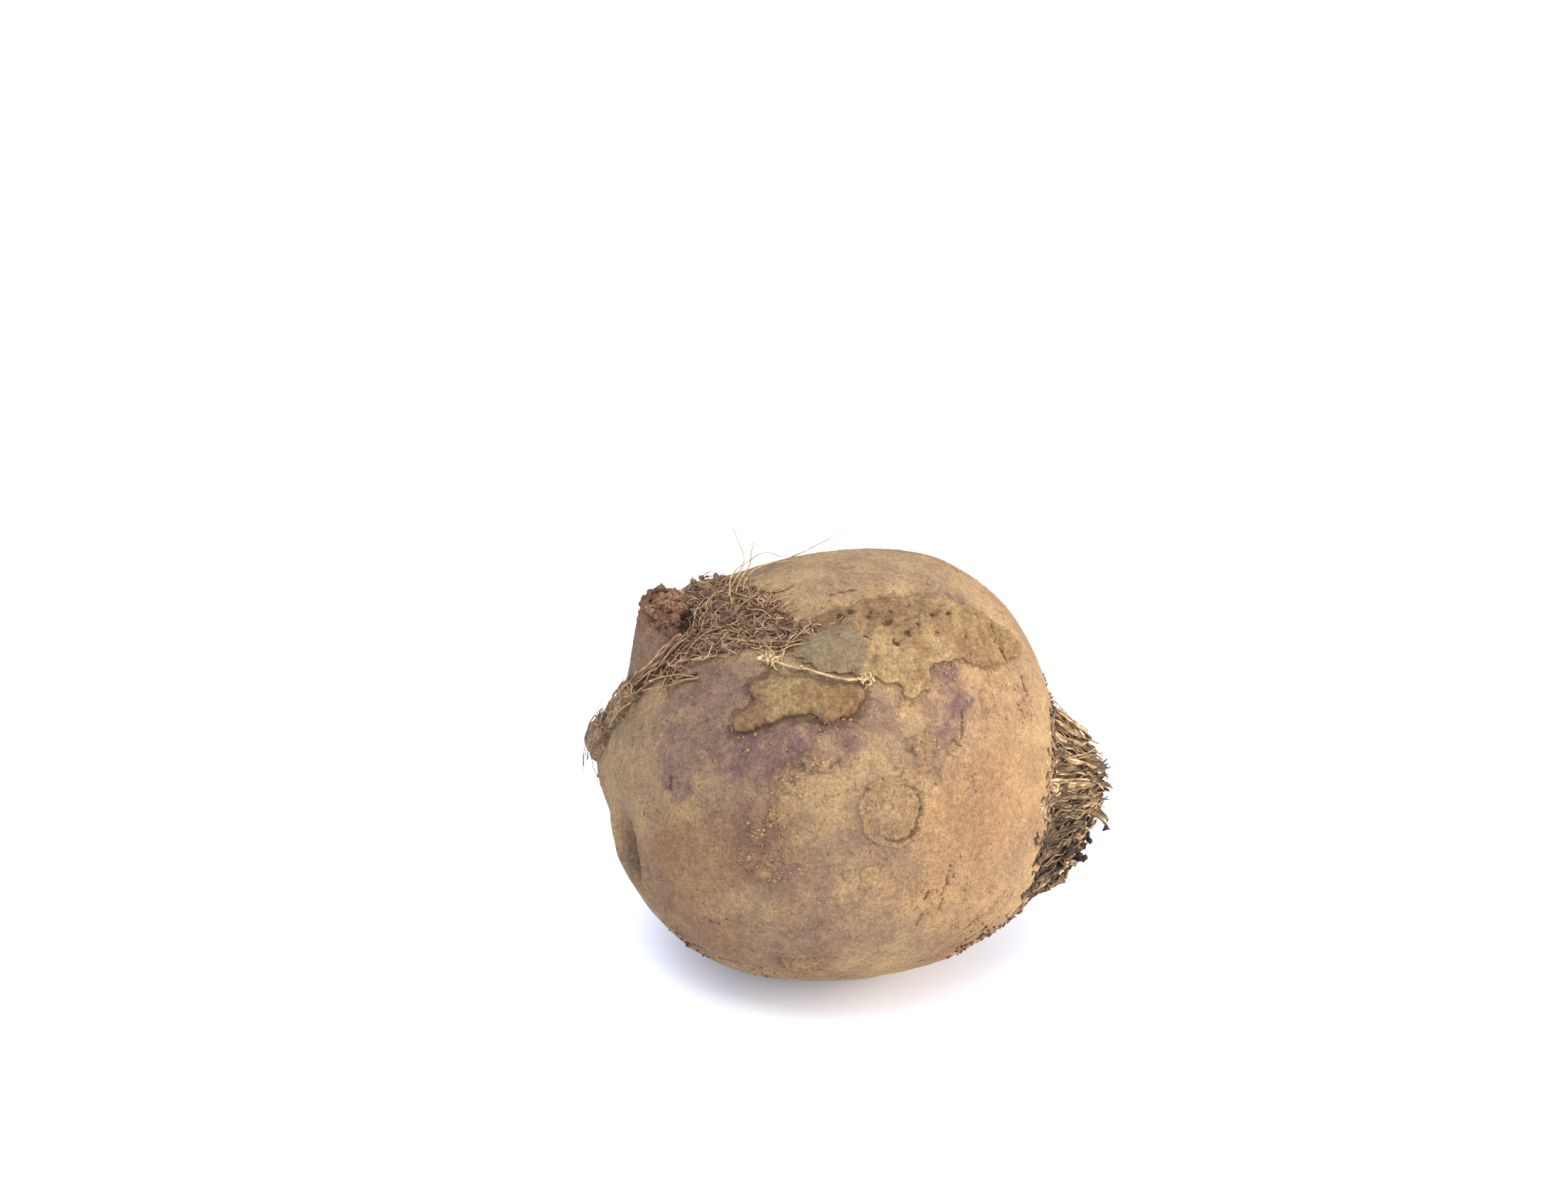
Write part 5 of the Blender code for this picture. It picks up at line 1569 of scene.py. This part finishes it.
# %% [markdown]
# Dried leaf bases are bundles of fibres, so their colour runs in streaks along each strip, and each
# strip has a tone of its own. No coordinates of the whole crown could follow hundreds of strips.
# Each strip therefore carries where its points lie across and along it, as attributes, and the
# streaks are noise in those.

# %% Torn leaf: fibrous, streaked lengthwise
def fibre_finish(name, hollow, body, pale, bump_mm):
    """Dried fibrous leaf: streaks run along each strip, whose tone is its own."""
    material, tree, shader = new_material(name, 0.85, 0.2)
    parts = {"X": scaled(tree, mask(tree, "across"), 2.4), "Y": scaled(tree, mask(tree, "along"), 0.28),
             "Z": scaled(tree, mask(tree, "tone"), 40.0)}
    strip_place = node(tree, "CombineXYZ", parts).outputs[0]
    sockets = {"Vector": strip_place, "Scale": 1.0, "Detail": 3.0}
    streaks = node(tree, "TexNoise", sockets).outputs["Fac"]
    colour = mixed(tree, between(tree, streaks, 0.34, 0.56), hollow, body)
    colour = mixed(tree, between(tree, streaks, 0.52, 0.64), colour, pale)
    colour = shaded(tree, colour, mask(tree, "tone"), 0.4, 1.45)
    place = object_place(tree)
    dusty = between(tree, cloud(tree, place, 3.0), 0.42, 0.62)
    colour = mixed(tree, scaled(tree, dusty, 0.45), colour, body)
    # The "burnt" mask is rot towards the torn ends and painted shade in the crown's hollows
    colour = laid_over(tree, colour, mask(tree, "burnt"), 0.85, "261d18")
    colour = shaded(tree, colour, cloud(tree, place, 0.4, 2.0), 0.8, 1.2)
    tree.links.new(colour, shader.inputs["Base Color"])
    grit_bump = bumped(tree, shader, cloud(tree, place, 0.5, 3.0), 0.15)
    bumped(tree, shader, streaks, bump_mm, grit_bump)
    return material


# Dead leaf: straw-coloured where it is clean, nearly black where it rotted
leaf_finish = fibre_finish("dried leaf base, fibrous", "3f2d21", "8f7353", "c9ad83", 0.35)
# Peeled skin: the same build, but flatter and paler with dust
scale_finish = fibre_finish("peeled skin, dusty", "7a5b42", "a3866a", "b89c79", 0.12)
print("leaf finishes:", leaf_finish.name, "and", scale_finish.name)

# %% [markdown]
# Broad torn sheaths come first, then narrow strips between them, short scraps across them, and
# single fibres on top. The strips stand in rings round the crown's axis, each ring shorter and
# flatter than the one inside it.

# %% Rings of torn strips
# Rings of sheaths: how many, degrees off the axis, length, outward lean, width
SHEATH_RINGS = (
    (9, 5, 12.5, 0.0, 3),
    (14, 10, 14, 0.0, 3.4),
    (20, 15, 15.5, 0.02, 3.6),
    (26, 20, 16, 0.04, 3.8),
    (34, 24, 14.5, 0.08, 3.8),
    (44, 27, 9, 0.1, 3.4),
    (50, 29.5, 6, 0.16, 3),
)
# Rings of narrow strips, as above
NARROW_RINGS = (
    (40, 8, 14, 0.0, 0.9),
    (70, 14, 15.5, 0.02, 1),
    (90, 20, 16, 0.05, 1),
    (100, 25.5, 13, 0.09, 1.1),
    (110, 29.5, 7, 0.12, 1),
)
print("strips:", sum(ring[0] for ring in SHEATH_RINGS + NARROW_RINGS))

# %% [markdown]
# Each strip starts as a small grid. Some of its columns are cut off short, which splits its end.
# Then it is bent along its own arc, narrowed to a torn end, curled across and shaken by noise.
# Strips that start in one of the hollows at the crown's front get painted shade at their foot.

# %% One torn strip
STRIP_ROWS = 8
HOLLOWS = ((-33, -12), (-39, -19), (-50, -26))


def on_arc(foot, bend, end, t):
    """A point of the arc that leaves foot towards bend and arrives at end."""
    return foot * (1 - t) ** 2 + bend * 2 * t * (1 - t) + end * t ** 2


def add_strip(bm, rng, foot, bend, end, face, foot_width, end_width, curl, columns):
    """Add one strip: a grid bent along an arc, narrowed and split at its end, curled across."""
    strip = bmesh.new()
    layers = [strip.verts.layers.float.new(name) for name in ("across", "along", "tone", "burnt")]
    bmesh.ops.create_grid(strip, x_segments=columns, y_segments=STRIP_ROWS, size=0.5)
    shift = Vector((rng.uniform(0.0, 99.0), rng.uniform(0.0, 99.0), 0.0))
    cut_from = {rng.randrange(columns): rng.uniform(0.35, 0.8) for _ in range(1 + columns // 3)}
    gone = []
    for item in strip.faces:
        middle = item.calc_center_median()
        column = min(columns - 1, int((middle.x + 0.5) * columns))
        if middle.y + 0.5 > cut_from.get(column, 2.0):
            gone.append(item)
    tone, length_mm = rng.random(), (end - foot).length / MM
    tear = [rng.uniform(0.75, 1.0) for _ in range(columns + 1)]
    ridge = [rng.uniform(-0.16, 0.16) for _ in range(columns + 1)]
    burnt = rng.uniform(0.5, 1.0) if rng.random() < 0.4 else 0.0
    foot_way = np.array([(foot - MIDDLE).normalized()])
    # Painted shade at the foot of a strip in a hollow, kept in the "burnt" mask with the rot
    shade = fall(min(distance_mm(foot_way, place)[0] for place in HOLLOWS), 4.0, 9.0)
    for vert in strip.verts:
        column = round((vert.co.x + 0.5) * columns)
        across, along = vert.co.x * 2.0, (vert.co.y + 0.5) * tear[column]
        spot = on_arc(foot, bend, end, along)
        ahead = ((bend - foot) * (1 - along) + (end - bend) * along).normalized()
        side = ahead.cross(face).normalized()
        up = side.cross(ahead).normalized()
        half = 0.5 * (foot_width + (end_width - foot_width) * along) * MM
        ripple = noise.noise(shift + Vector((across * 0.9, along * 3.5, 0.0)))
        fray = noise.noise(shift + Vector((across * 2.5, along * 9.0, 5.0)))
        drift = noise.noise(shift + Vector((0.0, along * 3.5, 9.0)))
        aside = half * across * (1.0 + 0.45 * fray) + 2.0 * drift * along * MM
        raised = (ridge[column] + 0.8 * ripple * (0.4 + along)) * MM
        vert.co = spot + side * aside + up * (half * curl * (across * across - 0.4) + raised)
        dark = max(burnt * max(0.0, along - 0.45) * 1.9, shade * (1.0 - 0.35 * along))
        values = (across * half / MM, along * length_mm, tone, dark)
        for layer, value in zip(layers, values):
            vert[layer] = value
    bmesh.ops.delete(strip, geom=gone, context="FACES")
    add_all(bm, strip)


print("a strip has", STRIP_ROWS, "rows of faces")

# %% [markdown]
# The strips don't all meet in one point. Each aims at its own spot of a loose tuft, so the crown
# ends broad and ragged. The solid crown is kept as a tree of its faces, which tells how far off it
# a strip's end stands: an end that would stand too far off makes its strip shorter.

# %% Where a strip starts and ends
TUFT_RADIUS = 5.5                    # the tuft ends as broad as this, in millimetres
TUFT_LOOSE = 2.6
TUFT_SHIFT = Vector((0.0, -1.5, 1.5)) * MM
LOW_LEAN = 0.45                      # how much the strips of the lower side spread outward
solid_crown = bmesh.new()
solid_crown.from_mesh(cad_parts["crown_leaf_bases"].data)
crown_tree = BVHTree.FromBMesh(solid_crown)
solid_crown.free()


def shaken(rng, size_mm):
    """A small random shift."""
    return Vector([rng.gauss(0.0, size_mm) * MM for _ in range(3)])


def strip_course(rng, off, length, lean):
    """Where one strip of a ring starts, bends and ends, and the way its face looks."""
    turn, degrees_off = any_turn(rng), off + rng.uniform(-2.5, 2.5)
    out_way = crown_way(turn, degrees_off)
    away = (crown_way(turn, degrees_off + 1.0) - out_way).normalized()
    mound = mound_share(degrees_off)
    foot = on_skin(out_way, 0.0) + crown_axis * 0.55 * CROWN_MOUND * mound * MM
    loose = shaken(rng, TUFT_LOOSE)
    blunt = away * TUFT_RADIUS * min(1.0, degrees_off / 22.0) * MM
    aim = (CROWN_TIP + TUFT_SHIFT + blunt + loose - foot).normalized()
    lean += LOW_LEAN * max(0.0, -away.z) * degrees_off / 25.0
    tilt = (aim * (1.0 - lean) + away * lean).normalized()
    upper = max(0.0, away.z)
    size = length * rng.uniform(0.55, 1.15) * (1.0 + 0.7 * upper) * MM
    play, raised = rng.uniform(0.0, 2.2 + 3.2 * upper), rng.uniform(-0.3, 0.6)
    for _ in range(6):
        end = foot + tilt * size + out_way * raised * MM
        near, normal, _, gap = crown_tree.find_nearest(end)
        if gap < play * MM or (end - near).dot(normal) < 0.0:
            break
        size *= 0.8
    end.x = min(end.x, (CROWN_REACH - 1.0) * MM)
    bend = foot + (out_way * rng.uniform(0.05, 0.3) + tilt * 0.8).normalized() * size * 0.5
    return foot, bend, end, (out_way + away * 0.8).normalized()


def crown_spot(share, turn):
    """A point of the solid crown's outside and its normal, at a share of the way to its tip."""
    start, spoke = MIDDLE.lerp(CROWN_TIP, share), crown_spoke(turn)
    spot, normal, _, _ = crown_tree.ray_cast(start, spoke)
    if spot is None:
        return start, spoke
    return spot, normal


near_tip, _ = crown_spot(0.9, 0.0)
print("the crown's side near its tip:", tuple(round(c / MM, 1) for c in near_tip), "mm")

# %% [markdown]
# All strips and scraps go into one bmesh, and one solidify gives them their thickness. Hundreds of
# thin strips look like the real thing, because their dark gaps do the work. At the end every point
# is held near the solid crown, closer on the lower side, so that no torn end dangles in the air.

# %% The torn leaf bases
SCRAPS = 420                         # short torn bits that lie across the strips
STRIP_THICKNESS = 0.25
LOOSE_ABOVE, LOOSE_BELOW = 5.4, 3.0  # how far any torn end may stand off the solid crown

rng = random.Random(64)
strips_bm = bmesh.new()
for rings, columns in ((SHEATH_RINGS, 6), (NARROW_RINGS, 2)):
    for count, off, length, lean, width in rings:
        for _ in range(count):
            course = strip_course(rng, off, length, lean)
            wide = width * rng.uniform(0.5, 1.2)
            add_strip(strips_bm, rng, *course, wide, wide * rng.uniform(0.3, 0.8),
                      rng.uniform(-0.5, 0.7), columns)
for _ in range(SCRAPS):
    share = rng.uniform(0.74, 0.96)
    spot, normal = crown_spot(share, any_turn(rng))
    lift = rng.uniform(-0.4, 0.4) + rng.uniform(0.0, 1.8) * min(1.0, max(0.0, share - 0.8) * 10.0)
    to_tip = (CROWN_TIP - spot).normalized()
    heading = to_tip + normal.cross(to_tip) * rng.uniform(-2.0, 2.0)
    heading += normal * rng.uniform(0.0, 0.5)
    foot = spot + normal * lift * MM
    end = foot + heading.normalized() * rng.uniform(2.2, 6.0) * MM
    end.x = min(end.x, (CROWN_REACH - 1.5) * MM)
    bend = (foot + end) / 2 + normal * rng.uniform(0.2, 2.0) * MM
    wide = rng.uniform(0.6, 2.4)
    add_strip(strips_bm, rng, foot, bend, end, normal, wide, wide * rng.uniform(0.3, 1.0),
              rng.uniform(-1.0, 1.3), 4)
bmesh.ops.solidify(strips_bm, geom=strips_bm.faces[:], thickness=STRIP_THICKNESS * MM)
for vert in strips_bm.verts:
    near, normal, _, gap = crown_tree.find_nearest(vert.co)
    loosest = (LOOSE_ABOVE if vert.co.z > CROWN_TIP.z else LOOSE_BELOW) * MM
    if gap > loosest and (vert.co - near).dot(normal) > 0.0:
        vert.co = near.lerp(vert.co, loosest / gap)
    vert.co.x = min(vert.co.x, CROWN_REACH * MM)
finished_piece("leaf_strips", strips_bm, leaf_finish, "crown_leaf_bases")

# %% [markdown]
# Single fibres came loose from the strips and lie on top of them. They follow the same arcs, with a
# wave of their own, and are strands like the rootlets.

# %% Loose fibres on the strips
FIBRES = 260
FIBRE_STEPS = 10
leaf_fibres = strand_curve("leaf_fibres", (tan_fibre, pale_fibre, dark_fibre))
for _ in range(FIBRES):
    off = rng.choice((8.0, 14.0, 20.0, 25.0, 28.0))
    foot, bend, end, face = strip_course(rng, off, 15.0 if off < 27.0 else 8.0, 0.03)
    phase, pace, kink = rng.uniform(0.0, 6.3), rng.uniform(0.5, 1.6), rng.uniform(0.1, 0.8)
    side = (end - foot).cross(face).normalized()
    points = []
    for step in range(FIBRE_STEPS + 1):
        t = step / FIBRE_STEPS
        spot = on_arc(foot, bend, end, t) + face * (0.5 + 0.3 * t) * MM
        spot += side * kink * math.sin(phase + pace * step) * MM
        spot.x = min(spot.x, (CROWN_REACH - 0.4) * MM)
        points.append(spot)
    add_strand(leaf_fibres, points, rng.uniform(0.06, 0.16), 0.5, rng.choice((0, 0, 1, 2)))
curve_piece(leaf_fibres, None)

# %% [markdown]
# At the lower front the leaf stubs rotted to small black knobs. Each is a cluster of three crumbs,
# set on the solid crown's outside and lifted to the ends of the strips there.

# %% Black knobs at the lower front
KNOBS = 48
# Where they sit: the share of the way to the crown's tip, and their lift in millimetres
KNOB_PLACES = ((0.78, 0.6), (0.87, 2.4), (0.93, 3), (0.95, 2.4), (0.96, 2.4))
low_front_way = Vector((0.0, -0.55, -0.83))
low_front = math.atan2(low_front_way.dot(crown_north), low_front_way.dot(crown_east))
knobs_bm = bmesh.new()
for _ in range(KNOBS):
    share, lift = rng.choice(KNOB_PLACES)
    point, normal = crown_spot(share, low_front + rng.gauss(0.0, 0.45))
    for _ in range(3):
        spot = point + shaken(rng, 0.5) + normal * lift * MM
        add_crumb(knobs_bm, rng, spot, rng.uniform(0.35, 0.95), 2)
# Rotted leaf: nearly black, the darkest spots that the eye finds on the root
black_finish = dried_finish("rotted leaf stub, black", "17110e", "3a2b21", 0.9, 0.2)
finished_piece("leaf_knobs", knobs_bm, black_finish, None)

# %% [markdown]
# Round the crown's foot the skin itself has come off in scales, which lie nearly flat and overlap
# along the crown's edge. They are the same kind of strip, short and broad, in the skin's colours.

# %% Scales of peeled skin round the crown
SCALE_THICKNESS = 0.2
# Rings of scales: how many, degrees off the axis, length
SCALE_RINGS = ((90, 28.5, 4.6), (100, 30.5, 4), (90, 32.5, 3.2), (60, 35, 2.2))
scales_bm = bmesh.new()
for count, off, length in SCALE_RINGS:
    for n in range(count):
        turn = 2.0 * math.pi * (n + rng.uniform(-0.5, 0.5)) / count
        degrees_off = off + rng.uniform(-1.5, 1.5)
        out_way = crown_way(turn, degrees_off)
        away = (crown_way(turn, degrees_off + 1.0) - out_way).normalized()
        along_brim = away.cross(out_way) * rng.choice((-1.0, 1.0))
        foot = on_skin(out_way, -0.1)
        heading = (along_brim - away * rng.uniform(-0.1, 0.7)).normalized()
        size = length * rng.uniform(0.5, 1.4) * MM
        end = foot + heading * size
        end = on_skin((end - MIDDLE).normalized(), rng.uniform(0.1, 0.9))
        bend = (foot + end) / 2 + out_way * rng.uniform(0.0, 0.35) * MM
        wide = rng.uniform(0.7, 2.1)
        add_strip(scales_bm, rng, foot, bend, end, out_way, wide, wide * rng.uniform(0.3, 0.9),
                  rng.uniform(-0.2, 0.3), 3)
bmesh.ops.solidify(scales_bm, geom=scales_bm.faces[:], thickness=SCALE_THICKNESS * MM)
finished_piece("skin_scales", scales_bm, scale_finish, None)

# %% [markdown]
# ## Floor and light
# The photograph was taken on white paper, in soft light that comes mostly from the right, with so
# much of it from all round that the shadow is only a pale one. A near-white floor, three soft area
# lights and a bright world give the same: a warm key light from the right, a weaker one from above,
# and one just over the floor that lights the crown. The standard view transform keeps white white.

# %% Floor, light and world
FLOOR_SIZE = 12.0
WORLD_STRENGTH = 1.42
bm = bmesh.new()
bmesh.ops.create_grid(bm, x_segments=8, y_segments=8, size=FLOOR_SIZE / 2)
floor_mesh = bpy.data.meshes.new("floor")
bm.to_mesh(floor_mesh)
bm.free()
floor = bpy.data.objects.new("floor", floor_mesh)
bpy.context.scene.collection.objects.link(floor)
floor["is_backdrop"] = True
# White paper: matt and bright, so that only the shadow tells the eye where the root lies
floor_material, tree, shader = new_material("white paper floor", 0.9, 0.1)
shader.inputs["Base Color"].default_value = linear("f9fafd")
floor_mesh.materials.append(floor_material)

world = bpy.data.worlds.new("white room")
world.use_nodes = True
background = world.node_tree.nodes["Background"]
background.inputs["Color"].default_value = linear("e0eaff")
background.inputs["Strength"].default_value = WORLD_STRENGTH
bpy.context.scene.world = world


def area_light(name, place_mm, aim_mm, size_mm, watts, colour):
    """A square soft light that faces a point."""
    light = bpy.data.lights.new(name, "AREA")
    light.size = size_mm * MM
    light.energy = watts
    light.color = linear(colour)[:3]
    lamp = bpy.data.objects.new(name, light)
    lamp.location = Vector(place_mm) * MM
    aim = Vector(aim_mm) - Vector(place_mm)
    lamp.rotation_euler = aim.to_track_quat("-Z", "Y").to_euler()
    bpy.context.scene.collection.objects.link(lamp)


area_light("key", (600.0, -260.0, 190.0), (0.0, 0.0, 30.0), 380.0, 5.2, "fff2e0")
area_light("top", (-90.0, -140.0, 540.0), (0.0, 0.0, 30.0), 420.0, 3.4, "f6f8ff")
area_light("low", (430.0, -400.0, 35.0), (0.0, 0.0, 10.0), 300.0, 3.3, "fff6ea")
bpy.context.scene.view_settings.view_transform = "Standard"

# %% Sizes and finish
seen_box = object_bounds()
for low, high, name in zip(*seen_box, "xyz"):
    print(name, round(low / MM, 2), "to", round(high / MM, 2), "mm")
